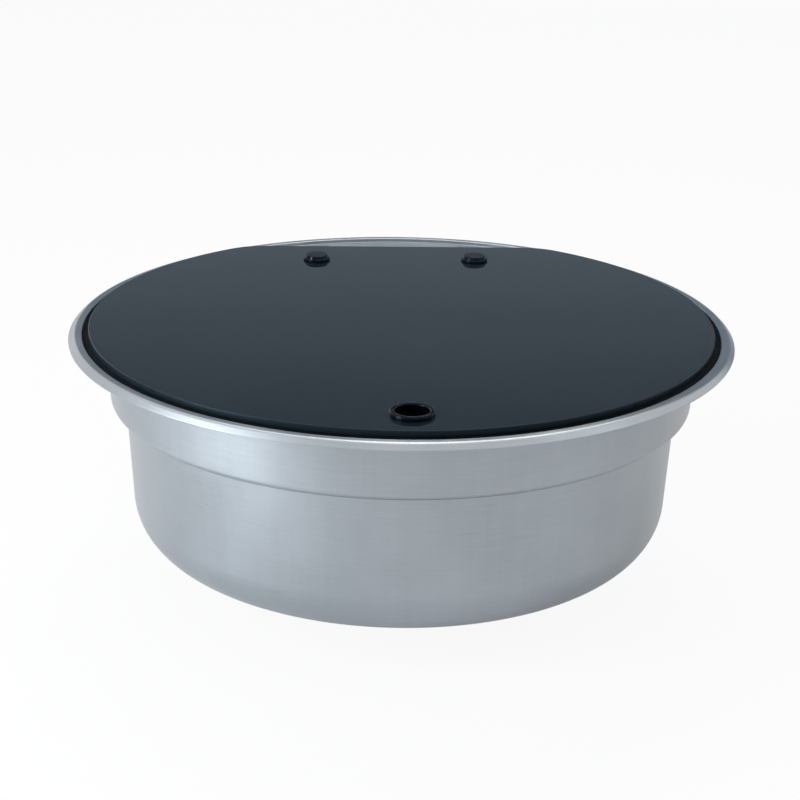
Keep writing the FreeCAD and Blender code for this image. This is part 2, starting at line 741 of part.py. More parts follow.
def drain_fitting():
    y = "0 - drain_row"
    flange = turned("waste_flange", [
        ("screw_hole", "cup_bottom"),
        ("cup_radius", "cup_bottom"),
        ("cup_radius", "flange_bottom"),
        ("flange_radius", "flange_bottom"),
        ("flange_radius", "flange_top"),
        ("cup_bore", "flange_top"),
        ("cup_bore", "cup_floor"),
        ("screw_hole", "cup_floor"),
    ], "0", y)
    lips = [("flange_radius", "flange_top"), ("cup_bore", "flange_top")]
    round_rings(flange, "flange_lip", lips, "flange_round")
    grid = new_sketch(flange, "grid_hole", "XY_Plane", "cup_floor")
    circle(grid, "cup_hole_radius", "cup_hole_row")
    cut = extrude(flange, "Pocket", "grid_hole_cut", grid, "through")
    spin_copies(flange, "grid_holes", cut, "cup_hole_count")

    ring("waste_top_gasket", "drain_hole", "flange_radius - top_gasket_inset", "recess_floor",
         "flange_bottom", "0", y)
    ring("waste_bottom_gasket", "drain_hole", "waste_flange_radius", "waste_top", "recess_under", "0", y)

    body = turned("waste_body", [
        ("0", "waste_bottom"),
        ("waste_radius", "waste_bottom"),
        ("waste_radius", "waste_top - waste_flange_height"),
        ("waste_flange_radius", "waste_top - waste_flange_height"),
        ("waste_flange_radius", "waste_top"),
        ("0", "waste_top"),
    ], "0", y)
    round_rings(body, "waste_base", [("waste_radius", "waste_bottom")], "waste_round")
    # The spigot's hose stops at a shoulder that stands clear of the round body.
    for name, radius, reach in (
        ("hose_stop", "outlet_radius + outlet_shoulder", "waste_radius + outlet_root"),
        ("spigot", "outlet_radius", "outlet_reach"),
    ):
        stub = new_sketch(body, name + "_outline", "XZ_Plane")
        circle(stub, radius, "0", "outlet_height")
        extrude(body, "Pad", name, stub, reach, Reversed=True)
    hollow = new_sketch(body, "waste_hollow_outline", "XY_Plane", "waste_top")
    circle(hollow, "waste_radius - waste_wall")
    circle(hollow, "boss_radius")
    extrude(body, "Pocket", "waste_hollow", hollow, "waste_top - waste_bottom - waste_wall")
    shelf = new_sketch(body, "boss_top_outline", "XY_Plane", "waste_top")
    circle(shelf, "waste_radius - waste_wall")
    extrude(body, "Pocket", "boss_top", shelf, "waste_top - cup_bottom")
    thread = new_sketch(body, "screw_socket_outline", "XY_Plane", "cup_bottom")
    circle(thread, "screw_radius + thread_play")
    extrude(body, "Pocket", "screw_socket", thread, "screw_grip + screw_play")
    bore = new_sketch(body, "outlet_bore_outline", "XZ_Plane", "0 - boss_radius - outlet_wall")
    circle(bore, "outlet_radius - outlet_wall", "0", "outlet_height")
    extrude(body, "Pocket", "outlet_bore", bore, "outlet_reach")

    turned("waste_screw", [
        ("0", "cup_bottom - screw_grip"),
        ("screw_radius", "cup_bottom - screw_grip"),
        ("screw_radius", "cup_floor"),
        ("screw_head_radius", "cup_floor"),
        ("screw_head_radius", "cup_floor + screw_head_height"),
        ("0", "cup_floor + screw_head_height"),
    ], "0", y)


def strainer():
    y = "0 - drain_row"
    basket = turned("strainer_basket", [
        ("knob_stem_radius", "basket_bottom"),
        ("basket_radius", "basket_bottom"),
        ("basket_radius", "basket_seat"),
        ("basket_rim", "basket_seat"),
        ("basket_rim", "basket_top"),
        ("basket_bore", "basket_top"),
        ("basket_bore", "basket_floor"),
        ("knob_stem_radius", "basket_floor"),
    ], "0", y)
    hole = new_sketch(basket, "basket_hole", "XY_Plane", "basket_floor")
    circle(hole, "basket_hole_radius", "basket_hole_row")
    cut = extrude(basket, "Pocket", "basket_hole_cut", hole, "through")
    spin_copies(basket, "basket_holes", cut, "basket_hole_count")
    ring("strainer_seal", "basket_radius", "cup_bore - plug_seal_play", "basket_bottom",
         "basket_bottom + plug_seal_height", "0", y)
    knob = turned("strainer_knob", [
        ("0", "basket_bottom"),
        ("knob_stem_radius", "basket_bottom"),
        ("knob_stem_radius", "basket_floor"),
        ("knob_foot_radius", "basket_floor"),
        ("knob_foot_radius", "knob_base"),
        ("knob_stem_radius", "knob_base"),
        ("knob_stem_radius", "knob_bottom"),
        ("knob_radius", "knob_bottom"),
        ("knob_radius", "knob_bottom + knob_height"),
        ("0", "knob_bottom + knob_height"),
    ], "0", y)
    rims = [("knob_radius", "knob_bottom + knob_height"), ("knob_radius", "knob_bottom")]
    round_rings(knob, "knob_edges", rims, "knob_round")


def groove(height):
    """The three-sided step of an O-ring groove in the tap's stem, from below to above."""
    low, high = height + " - o_ring_radius", height + " + o_ring_radius"
    return [("stem_radius", low), ("groove_radius", low), ("groove_radius", high), ("stem_radius", high)]


def tap_base():
    y = "tap_row"
    ring("tap_gasket", "shank_hole", "tap_flange_radius - tap_gasket_inset", "platform_top", "tap_seat",
         "0", y)
    body = turned("tap_body", [
        ("waterway_radius", "tail_bottom"),
        ("tail_radius", "tail_bottom"),
        ("tail_radius", "shank_bottom"),
        ("shank_radius", "shank_bottom"),
        ("shank_radius", "tap_seat"),
        ("tap_flange_radius", "tap_seat"),
        ("tap_flange_radius", "tap_flange_top"),
        ("stem_radius", "tap_flange_top"),
        *groove("lower_ring"),
        *groove("upper_ring"),
        ("stem_radius", "stem_top"),
        ("cartridge_radius + thread_play", "stem_top"),
        ("cartridge_radius + thread_play", "cartridge_bottom"),
        ("waterway_radius", "cartridge_bottom"),
    ], "0", y)
    round_rings(body, "tap_flange_edge", [("tap_flange_radius", "tap_flange_top")], "tap_flange_round")
    port = new_sketch(body, "port_outline", "XZ_Plane")
    circle(port, "port_radius", "0", "port_height")
    extrude(body, "Pocket", "port", port, "through", Midplane=True)

    ring("tap_washer", "shank_hole", "washer_radius", "washer_bottom", "platform_under", "0", y)
    hex_nut("tap_backnut", "backnut_flats", "shank_radius + thread_play", "backnut_bottom",
            "backnut_height", "0", y)

    o_rings = []
    for name, height in (("lower_o_ring", "lower_ring"), ("upper_o_ring", "upper_ring")):
        o_ring = doc.addObject("Part::Torus", name)
        o_ring.setExpression("Radius1", ex("groove_radius + o_ring_radius"))
        o_ring.setExpression("Radius2", ex("o_ring_radius"))
        place(o_ring, "0", y, height)
        o_rings.append(o_ring)
    pair = doc.addObject("Part::Compound", "tap_rings")
    pair.Label = "tap_rings"
    pair.Links = o_rings
    pieces.append(pair)

    turned("tap_cartridge", [
        ("0", "cartridge_bottom"),
        ("cartridge_radius", "cartridge_bottom"),
        ("cartridge_radius", "stem_top"),
        ("cartridge_flange", "stem_top"),
        ("cartridge_flange", "cartridge_top"),
        ("spindle_radius", "cartridge_top"),
        ("spindle_radius", "spindle_top"),
        ("handle_screw_radius", "spindle_top"),
        ("handle_screw_radius", "spindle_top - handle_screw_grip - screw_play"),
        ("0", "spindle_top - handle_screw_grip - screw_play"),
    ], "0", y)


def spout_path(body, name):
    """Along the tube's centre line: forward from the collar, round the bend and down to the outlet."""
    sketch = new_sketch(body, name, "YZ_Plane")
    start = number("0 - collar_bore")
    turn = number("tube_bend - spout_reach")
    tip = number("0 - spout_reach")
    high = number("port_height")
    bend = number("port_height - tube_bend")
    low = number("tube_end")
    level = Part.LineSegment(FreeCAD.Vector(start, high, 0), FreeCAD.Vector(turn, high, 0))
    corner = Part.Circle(FreeCAD.Vector(turn, bend, 0), up, high - bend)
    elbow = Part.ArcOfCircle(corner, math.pi / 2, math.pi)
    down = Part.LineSegment(FreeCAD.Vector(tip, bend, 0), FreeCAD.Vector(tip, low, 0))
    for edge in (level, elbow, down):
        sketch.addGeometry(edge, False)
    sketch.addConstraint(Sketcher.Constraint("Tangent", 0, 2, 1, 1))
    sketch.addConstraint(Sketcher.Constraint("Tangent", 1, 2, 2, 1))
    sketch.addConstraint(Sketcher.Constraint("Horizontal", 0))
    sketch.addConstraint(Sketcher.Constraint("Vertical", 2))
    hold(sketch, "Radius", 1, "tube_bend")
    hold(sketch, "DistanceX", 0, 1, "0 - collar_bore")
    hold(sketch, "DistanceY", 0, 1, "port_height")
    hold(sketch, "DistanceX", 2, 2, "0 - spout_reach")
    hold(sketch, "DistanceY", 2, 2, "tube_end")
    return sketch


def pipe(body, kind, name, radius):
    section = new_sketch(body, name + "_section", "XZ_Plane", "collar_bore")
    circle(section, radius, "0", "port_height")
    path = spout_path(body, name + "_path")
    feature = body.newObject("PartDesign::" + kind, name)
    feature.Profile = section
    feature.Spine = (path, ["Edge1", "Edge2", "Edge3"])
    doc.recompute()


def swivel_spout():
    y = "tap_row"
    body = new_body("spout")
    sketch = new_sketch(body, "collar_profile", "XZ_Plane")
    outline(sketch, [
        ("0", "collar_bottom"),
        ("collar_outer", "collar_bottom"),
        ("collar_outer", "collar_top"),
        ("0", "collar_top"),
    ])
    revolve(body, "collar_turn", sketch)
    rims = [("collar_outer", "collar_bottom"), ("collar_outer", "collar_top")]
    round_rings(body, "collar_edges", rims, "collar_round")
    pipe(body, "AdditivePipe", "tube", "tube_radius")
    pipe(body, "SubtractivePipe", "tube_hollow", "tube_bore")
    bore = new_sketch(body, "collar_bore_outline", "XY_Plane", "collar_top")
    circle(bore, "collar_bore")
    extrude(body, "Pocket", "collar_bore_cut", bore, "collar_height")
    place(body, "0", y)

    turned("spout_aerator", [
        ("aerator_bore", "tube_end - aerator_lip"),
        ("tube_radius", "tube_end - aerator_lip"),
        ("tube_radius", "tube_end"),
        ("tube_bore - thread_play", "tube_end"),
        ("tube_bore - thread_play", "tube_end + tube_drop"),
        ("aerator_bore", "tube_end + tube_drop"),
    ], "0", "tap_row - spout_reach")


def quarter_turn_handle():
    y = "tap_row"
    body = new_body("tap_handle")
    sketch = new_sketch(body, "hub_profile", "XZ_Plane")
    outline(sketch, [
        ("0", "handle_bottom"),
        ("handle_radius", "handle_bottom"),
        ("handle_radius", "handle_top"),
        ("0", "handle_top"),
    ])
    revolve(body, "hub_turn", sketch)
    wing = new_sketch(body, "lever_outline", "XY_Plane", "handle_bottom")
    outline(wing, [
        ("0", "0 - lever_root"),
        ("lever_reach", "0 - lever_tip"),
        ("lever_reach", "lever_tip"),
        ("0", "lever_root"),
    ])
    extrude(body, "Pad", "lever", wing, "lever_height")
    reach = number("lever_reach")
    soften(body, "Fillet", "lever_end",
           upright_edges(body, lambda spot: abs(spot.x - reach) < near), "lever_tip - lever_end_flat")
    crown = level_edges(body, "handle_top")
    soften(body, "Fillet", "hub_edge", crown, "handle_round")
    spindle = new_sketch(body, "spindle_outline", "XY_Plane", "handle_bottom")
    circle(spindle, "spindle_radius + thread_play")
    extrude(body, "Pocket", "spindle_socket", spindle, "spindle_length", Reversed=True)
    hole = new_sketch(body, "screw_hole_outline", "XY_Plane", "handle_top")
    circle(hole, "handle_screw_radius + screw_play")
    extrude(body, "Pocket", "screw_hole", hole, "through")
    well = new_sketch(body, "screw_well_outline", "XY_Plane", "handle_top")
    circle(well, "handle_well")
    extrude(body, "Pocket", "screw_well", well, "handle_top - well_bottom")
    place(body, "0", y)

    turned("handle_screw", [
        ("0", "spindle_top - handle_screw_grip"),
        ("handle_screw_radius - thread_play", "spindle_top - handle_screw_grip"),
        ("handle_screw_radius - thread_play", "well_bottom"),
        ("handle_screw_head", "well_bottom"),
        ("handle_screw_head", "well_bottom + handle_screw_head_height"),
        ("0", "well_bottom + handle_screw_head_height"),
    ], "0", y)
    turned("handle_plug", [
        ("0", "handle_top - handle_plug_height"),
        ("handle_well - thread_play", "handle_top - handle_plug_height"),
        ("handle_well - thread_play", "handle_top"),
        ("0", "handle_top"),
    ], "0", y)


def main():
    fill_sheet()
    bowl_shell()
    lid_seal()
    lid_glass()
    lid_fittings()
    finger_ring()
    drain_fitting()
    strainer()
    tap_base()
    swivel_spout()
    quarter_turn_handle()
    doc.recompute()
    faults = [each.Label for each in doc.Objects if "Invalid" in each.State or "Error" in each.State]
    if faults:
        raise RuntimeError("these failed to build: " + ", ".join(faults))
    for piece in pieces:
        if piece.Shape.isNull() or not piece.Shape.isValid():
            raise RuntimeError(piece.Label + " has no sound shape")
    os.makedirs("parts", exist_ok=True)
    for piece in pieces:
        piece.Shape.exportStep("parts/%s.step" % piece.Label)
        print(piece.Label, len(piece.Shape.Solids), "solid", round(piece.Shape.Volume), "cubic mm")


main()
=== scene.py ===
import json
from math import cos, pi, radians, sin, sqrt, tan

import bmesh
import bpy
from mathutils import Matrix, Vector


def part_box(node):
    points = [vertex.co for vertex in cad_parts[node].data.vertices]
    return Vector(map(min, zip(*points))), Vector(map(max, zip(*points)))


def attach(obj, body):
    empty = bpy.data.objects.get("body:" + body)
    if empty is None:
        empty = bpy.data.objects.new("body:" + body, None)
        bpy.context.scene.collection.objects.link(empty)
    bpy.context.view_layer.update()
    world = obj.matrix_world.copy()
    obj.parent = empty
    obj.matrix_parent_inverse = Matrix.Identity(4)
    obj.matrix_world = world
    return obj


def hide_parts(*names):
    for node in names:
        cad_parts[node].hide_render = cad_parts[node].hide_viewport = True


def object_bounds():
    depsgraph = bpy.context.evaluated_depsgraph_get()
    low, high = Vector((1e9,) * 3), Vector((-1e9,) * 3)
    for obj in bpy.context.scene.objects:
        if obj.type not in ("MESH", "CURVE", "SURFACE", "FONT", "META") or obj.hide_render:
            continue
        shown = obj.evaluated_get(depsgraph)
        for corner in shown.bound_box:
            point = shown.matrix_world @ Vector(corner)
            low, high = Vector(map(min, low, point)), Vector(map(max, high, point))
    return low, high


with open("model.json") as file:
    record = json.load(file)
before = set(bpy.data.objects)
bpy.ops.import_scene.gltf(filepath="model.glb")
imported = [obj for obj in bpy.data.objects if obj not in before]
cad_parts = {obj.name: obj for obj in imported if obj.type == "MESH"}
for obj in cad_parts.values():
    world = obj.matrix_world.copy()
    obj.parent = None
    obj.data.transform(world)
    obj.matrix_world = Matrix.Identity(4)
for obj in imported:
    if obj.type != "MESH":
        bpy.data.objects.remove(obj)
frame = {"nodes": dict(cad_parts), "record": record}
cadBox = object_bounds()
scene = bpy.context.scene
mm = 0.001
record = frame["record"]
slotOf = {row["node"]: row["material_slot"] for row in record["subparts"]}
bodyOf = {node: body for body, group in record["behaviour"]["bodies"].items() for node in group}


# nodes for the finishes and for the geometry trees

def feed(tree, node, feeds):
    # each input is set, or linked where the value is another node's output
    for name, value in feeds.items():
        if isinstance(value, bpy.types.NodeSocket):
            tree.links.new(value, node.inputs[name])
        else:
            node.inputs[name].default_value = value


def addNode(tree, kind, feeds=None, **settings):
    node = tree.nodes.new(kind)
    for name, value in settings.items():
        setattr(node, name, value)
    feed(tree, node, feeds or {})
    return node


def outputOf(tree, kind, feeds=None, socket=0, **settings):
    return addNode(tree, kind, feeds, **settings).outputs[socket]


def calc(tree, operation, *values):
    return outputOf(tree, "ShaderNodeMath", dict(enumerate(values)), operation=operation)


def startFinish(name):
    material = bpy.data.materials.new(name)
    material.use_nodes = True
    return material, material.node_tree, material.node_tree.nodes["Principled BSDF"]


def roundCoords(tree, around, outward, upward):
    # angle, radius and height about the bowl's axis, each with its own scale
    place = outputOf(tree, "ShaderNodeTexCoord", socket="Object")
    x, y, z = addNode(tree, "ShaderNodeSeparateXYZ", {"Vector": place}).outputs
    squares = calc(tree, "ADD", calc(tree, "MULTIPLY", x, x), calc(tree, "MULTIPLY", y, y))
    return outputOf(tree, "ShaderNodeCombineXYZ", {
        "X": calc(tree, "MULTIPLY", calc(tree, "ARCTAN2", y, x), around),
        "Y": calc(tree, "MULTIPLY", calc(tree, "SQRT", squares), outward),
        "Z": calc(tree, "MULTIPLY", z, upward),
    })


def plainCoords(tree, *scale):
    place = outputOf(tree, "ShaderNodeTexCoord", socket="Object")
    return outputOf(tree, "ShaderNodeMapping", {"Vector": place, "Scale": scale})


def noise(tree, scale, detail=3.0, roughness=0.5, coords=plainCoords):
    # the scale is one number, or one for each direction
    scales = scale if isinstance(scale, tuple) else (scale, scale, scale)
    feeds = {"Vector": coords(tree, *scales), "Scale": 1.0, "Detail": detail, "Roughness": roughness}
    return outputOf(tree, "ShaderNodeTexNoise", feeds, "Fac")


def spread(tree, factor, low, high, start=0.35, end=0.65):
    # a straight change from low to high while the factor goes from start to end
    feeds = {"Value": factor, "From Min": start, "From Max": end, "To Min": low, "To Max": high}
    return outputOf(tree, "ShaderNodeMapRange", feeds, "Result", clamp=True)


def blend(tree, factor, first, second):
    colours = [(*colour, 1) if isinstance(colour, tuple) else colour for colour in (first, second)]
    feeds = {0: factor, 6: colours[0], 7: colours[1]}                   # 6 and 7 take colours
    return outputOf(tree, "ShaderNodeMix", feeds, 2, data_type="RGBA")


def bump(tree, height, strength, distance):
    feeds = {"Height": height, "Strength": strength, "Distance": distance}
    return outputOf(tree, "ShaderNodeBump", feeds, "Normal")


# finishes

coolShine = (0.5, 0.75, 1.0)                # dark pieces gleam bluish
bowlFinish = {
    "light": (0.436, 0.471, 0.507),
    "dark": (0.353, 0.381, 0.41),
    "contrast": (0.34, 0.66),
    "smoothest": 0.27,
    "dullest": 0.37,
    "brushing": 0.6,
    "brushTurn": 0.25,                      # gleams spread across the lines
    "lines": (9, 900, 2600),                # polishing lines round the bowl
    "lineShare": 0.40,
    "streaks": (55, 3, 9),                  # faint upright drawing streaks
    "streakShare": 0.14,
    "clouds": 14,
    "cloudShare": 0.46,
    "grain": 0.08,
    "grainDepth": 0.0004,
}


def drawnSteel():
    b = bowlFinish
    material, tree, shader = startFinish("drawnSteel")
    lines = noise(tree, b["lines"], detail=4, roughness=0.6, coords=roundCoords)
    streaks = noise(tree, b["streaks"], detail=4, roughness=0.65, coords=roundCoords)
    clouds = noise(tree, b["clouds"])
    mixed = calc(tree, "MULTIPLY", clouds, b["cloudShare"])
    mixed = calc(tree, "MULTIPLY_ADD", streaks, b["streakShare"], mixed)
    mixed = calc(tree, "MULTIPLY_ADD", lines, b["lineShare"], mixed)
    feed(tree, shader, {
        "Metallic": 1,
        "Anisotropic": b["brushing"],
        "Anisotropic Rotation": b["brushTurn"],
        "Tangent": outputOf(tree, "ShaderNodeTangent", direction_type="RADIAL", axis="Z"),
        "Base Color": blend(tree, spread(tree, mixed, 0, 1, *b["contrast"]), b["dark"], b["light"]),
        "Roughness": spread(tree, mixed, b["smoothest"], b["dullest"], *b["contrast"]),
        "Normal": bump(tree, lines, b["grain"], b["grainDepth"]),
    })
    return material


glassFinish = {
    "ior": 1.5,
    "body": (0.006, 0.011, 0.016),
    "haze": (0.009, 0.015, 0.021),
    "hazeRange": (0.3, 0.7),
    "smoothest": 0.05,
    "dullest": 0.13,
    "wipes": (5, 9, 5),                     # haze left by wiping
    "wipeRange": (0.35, 0.7),
    "dust": 900,
    "dustRange": (0.74, 0.80),
    "dustDullness": 0.12,
    "edge": (0.010, 0.016, 0.020),
    "edgeLines": (20, 60, 2500),            # grinding lines along the edge
    "edgeSmoothest": 0.25,
    "edgeDullest": 0.40,
    "edgeShine": 0.2,
}


def smokedGlass():
    g = glassFinish
    material, tree, shader = startFinish("smokedGlass")
    wipes = noise(tree, g["wipes"], detail=5, roughness=0.6)
    dust = noise(tree, g["dust"], detail=1, roughness=0.4)
    smear = spread(tree, wipes, g["smoothest"], g["dullest"], *g["wipeRange"])
    specks = spread(tree, dust, 0, g["dustDullness"], *g["dustRange"])
    feed(tree, shader, {
        "Base Color": blend(tree, spread(tree, wipes, 0, 1, *g["hazeRange"]), g["body"], g["haze"]),
        "Roughness": calc(tree, "ADD", smear, specks),
        "IOR": g["ior"],
    })
    return material


def polishedEdge():
    g = glassFinish
    material, tree, shader = startFinish("polishedGlassEdge")
    lines = noise(tree, g["edgeLines"], detail=2, coords=roundCoords)
    feed(tree, shader, {
        "Base Color": blend(tree, lines, g["body"], g["edge"]),
        "Roughness": spread(tree, lines, g["edgeSmoothest"], g["edgeDullest"]),
        "IOR": g["ior"],
        "Specular IOR Level": g["edgeShine"],
        "Specular Tint": (*coolShine, 1),
    })
    return material


mouldings = {
    "seal_rubber": {"name": "sealRubber", "colour": (0.003, 0.004, 0.005), "smoothest": 0.75, "dullest": 0.90,
                    "fineness": 1400, "grain": 0.25, "shine": 0.10, "tint": coolShine},
    "black_gloss": {"name": "glossBlack", "colour": (0.0008, 0.0013, 0.002), "smoothest": 0.03,
                    "dullest": 0.06, "fineness": 500, "grain": 0.01, "shine": 0.12, "tint": coolShine},
    "waste_plastic": {"name": "mattBlackMoulding", "colour": (0.022, 0.022, 0.024), "smoothest": 0.40,
                      "dullest": 0.55, "fineness": 1800, "grain": 0.30},
    "index_blue": {"name": "indexBlue", "colour": (0.03, 0.12, 0.42), "smoothest": 0.10, "dullest": 0.18,
                   "fineness": 500, "grain": 0.02},
}
metals = {
    "fitting_steel": {"name": "brightSteel", "colour": (0.60, 0.605, 0.61), "smoothest": 0.16,
                      "dullest": 0.26, "fineness": 2400, "grain": 0.10},
    "tap_chrome": {"name": "tapChrome", "colour": (0.78, 0.785, 0.79), "smoothest": 0.035, "dullest": 0.09,
                   "fineness": 300, "grain": 0.01},
    "tap_brass": {"name": "plainBrass", "colour": (0.66, 0.50, 0.24), "smoothest": 0.18, "dullest": 0.30,
                  "fineness": 1800, "grain": 0.08},
}
wear = {"mouldClouds": 60, "paler": 1.5, "lift": 0.001, "turning": 40, "wipes": 45, "wipeRange": (0.35, 0.7),
        "duller": 0.88, "depth": 0.0002}


def moulded(name, colour, smoothest, dullest, fineness, grain, shine=0.5, tint=(1, 1, 1)):
    material, tree, shader = startFinish(name)
    fine = noise(tree, fineness, detail=2)
    broad = noise(tree, wear["mouldClouds"])
    paler = tuple(part * wear["paler"] + wear["lift"] for part in colour)
    feed(tree, shader, {
        "Base Color": blend(tree, spread(tree, broad, 0, 1), colour, paler),
        "Roughness": spread(tree, broad, smoothest, dullest),
        "Specular IOR Level": shine,
        "Specular Tint": (*tint, 1),
        "Normal": bump(tree, fine, grain, wear["depth"]),
    })
    return material


def brightMetal(name, colour, smoothest, dullest, fineness, grain):
    # faint turning lines and the marks of wiping
    material, tree, shader = startFinish(name)
    lines = noise(tree, (wear["turning"], wear["turning"], fineness), roughness=0.6)
    wipes = noise(tree, wear["wipes"], detail=4, roughness=0.55)
    duller = tuple(part * wear["duller"] for part in colour)
    feed(tree, shader, {
        "Metallic": 1,
        "Base Color": blend(tree, spread(tree, wipes, 0, 1), duller, colour),
        "Roughness": spread(tree, wipes, smoothest, dullest, *wear["wipeRange"]),
        "Normal": bump(tree, lines, grain, wear["depth"]),
    })
    return material


finishes = {"bowl_steel": drawnSteel(), "lid_glass": smokedGlass()}
for slot, values in mouldings.items():
    finishes[slot] = moulded(**values)
for slot, values in metals.items():
    finishes[slot] = brightMetal(**values)
glassEdge = polishedEdge()
print("finishes:", len(finishes) + 1)


# meshes

tolerance = {"merge": 1e-6, "empty": 1e-7}
bevel = {"flatAngle": 0.5, "edgeAngle": 40, "segments": 2}
eased = {"root": 0.1, "fine": 0.2, "edge": 0.3, "soft": 0.4, "blunt": 0.5}      # roundings used by name
overshoot = 1                               # millimetres that a cutter reaches past what it cuts


def looseObject(name, mesh):
    piece = bpy.data.objects.new(name, mesh)
    scene.collection.objects.link(piece)
    return piece


def objectFrom(name, bm):
    mesh = bpy.data.meshes.new(name)
    bm.to_mesh(mesh)
    bm.free()
    return looseObject(name, mesh)


def settle(piece):
    # what the modifiers make becomes the plain mesh
    graph = bpy.context.evaluated_depsgraph_get()
    made = bpy.data.meshes.new_from_object(piece.evaluated_get(graph), depsgraph=graph)
    made.name = piece.name
    piece.modifiers.clear()
    piece.data = made
    return piece


def turnOut(piece):
    # merged doubles, no empty faces, and every face pointing outwards
    bm = bmesh.new()
    bm.from_mesh(piece.data)
    bmesh.ops.remove_doubles(bm, verts=bm.verts, dist=tolerance["merge"])
    bmesh.ops.dissolve_degenerate(bm, dist=tolerance["empty"], edges=bm.edges)
    bmesh.ops.recalc_face_normals(bm, faces=bm.faces)
    bm.to_mesh(piece.data)
    bm.free()
    return piece


def shadeSoftly(piece, sharpAngle=38):
    # soft shading, with flat faces kept flat beside their rounded edges
    piece.data.shade_smooth()
    piece.data.set_sharp_from_angle(angle=radians(sharpAngle))
    even = piece.modifiers.new("evenShading", "WEIGHTED_NORMAL")
    even.keep_sharp = True
    return settle(piece)


def handOver(piece, node):
    # the piece takes the node's place, body and slot
    shadeSoftly(piece)
    if not piece.data.materials:
        piece.data.materials.append(finishes[slotOf[node]])
    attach(piece, bodyOf[node])
    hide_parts(node)
    return piece


def pieceName(node):
    first, *rest = node.split("_")
    return first + "".join(word.title() for word in rest)


def roundedOutline(corners, closed, steps=5):
    # corners are (across, up, rounding) in millimetres, and each rounding, a size or a name, becomes an arc
    points = []
    for i, (across, height, rounding) in enumerate(corners):
        spot = Vector((across, height))
        rounding = eased.get(rounding, rounding)
        if rounding <= 0 or (not closed and i in (0, len(corners) - 1)):
            points.append(spot * mm)
            continue
        back = (Vector(corners[i - 1][:2]) - spot).normalized()
        ahead = (Vector(corners[(i + 1) % len(corners)][:2]) - spot).normalized()
        half = back.angle(ahead) / 2
        middle = spot + (back + ahead).normalized() * rounding / sin(half)
        start = spot + back * rounding / tan(half) - middle
        sweep = start.angle_signed(spot + ahead * rounding / tan(half) - middle)
        for k in range(steps + 1):
            points.append((middle + Matrix.Rotation(-sweep * k / steps, 2) @ start) * mm)
    return points


def quarterRound(size, steps):
    # inset and rise of a rounded edge, from its side to its face
    angles = [pi / 2 * k / steps for k in range(steps + 1)]
    return [(size * (1 - cos(a)), size * sin(a)) for a in angles]


def reachOfArc(x, y, size, c, s):
    # how far a ray goes until it leaves a rounded corner about (x, y)
    along = x * c + y * s
    return along + sqrt(max(0, along ** 2 - x ** 2 - y ** 2 + size ** 2))


def ringAt(radius, z, centre, count):
    if radius < tolerance["empty"]:
        return [Vector((*centre, z))]
    angles = [2 * pi * i / count for i in range(count)]
    return [Vector((centre[0] + radius * cos(a), centre[1] + radius * sin(a), z)) for a in angles]


def skinRings(name, rings, looped):
    # faces between neighbouring rings, with a fan at a ring of one point
    bm = bmesh.new()
    rows = [[bm.verts.new(point) for point in ring] for ring in rings]
    pairs = list(zip(rows, rows[1:]))
    if looped:
        pairs.append((rows[-1], rows[0]))
    for low, high in pairs:
        count = max(len(low), len(high))
        for i in range(count):
            j = (i + 1) % count
            around = [low[i % len(low)], low[j % len(low)], high[j % len(high)], high[i % len(high)]]
            corners = list(dict.fromkeys(around))
            if len(corners) > 2:
                bm.faces.new(corners)
    return turnOut(objectFrom(name, bm))


def stepped(start, *steps):
    # corners of a turned outline: a step has its radius, or two for a cone, its end level and two roundings
    corners, level = [], start
    for radius, end, first, last in steps:
        near, far = radius if isinstance(radius, tuple) else (radius, radius)
        corners += [(near, level, first), (far, end, last)]
        level = end
    if level == start:                      # the last step is a bore
        return corners[-1:] + corners[:-1]
    return [(0, start, 0), *corners, (0, level, 0)]


def turned(name, corners, centre=(0, 0), count=96):
    looped = min(corners[0][0], corners[-1][0]) > 0
    outline = roundedOutline(corners, looped)
    return skinRings(name, [ringAt(p.x, p.y, centre, count) for p in outline], looped)


def rod(name, radius, low, high, centre=(0, 0), count=64):
    return turned(name, stepped(low, (radius, high, 0, 0)), centre, count)


def block(name, low, high):
    bm = bmesh.new()
    bmesh.ops.create_cube(bm, size=1)
    for vert in bm.verts:
        vert.co = Vector([(a + b) / 2 + (b - a) * c for a, b, c in zip(low, high, vert.co)]) * mm
    return objectFrom(name, bm)


def moveMesh(piece, matrix):
    piece.data.transform(matrix)
    return piece


def combine(piece, other, operation="DIFFERENCE"):
    change = piece.modifiers.new("combine", "BOOLEAN")
    change.operation = operation
    change.object = other
    change.solver = "EXACT"
    settle(piece)
    bpy.data.objects.remove(other)
    return piece


def outlineObject(name, points, closed):
    count = len(points)
    mesh = bpy.data.meshes.new(name)
    mesh.from_pydata(points, [(i, (i + 1) % count) for i in range(count if closed else count - 1)], [])
    return looseObject(name, mesh)


def nodeSpan(node):
    # a turned node's centre in metres, then its radius, bottom and top in millimetres
    low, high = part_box(node)
    centre = ((low.x + high.x) / 2, (low.y + high.y) / 2)
    return centre, (high.x - low.x) / 2 / mm, low.z / mm, high.z / mm


def turnedPiece(node, *steps, sides=96):
    # a node's piece, turned about its own axis from its lowest level
    centre, _, bottom, _ = nodeSpan(node)
    return turned(pieceName(node), stepped(bottom, *steps), centre, sides)


def turnAndFit(node, *steps, sides=96):
    handOver(turnedPiece(node, *steps, sides=sides), node)


def pressedRing(node, bore, rounding):
    _, radius, bottom, top = nodeSpan(node)
    turnAndFit(node, (radius, top, rounding, rounding), (bore, bottom, rounding, rounding))


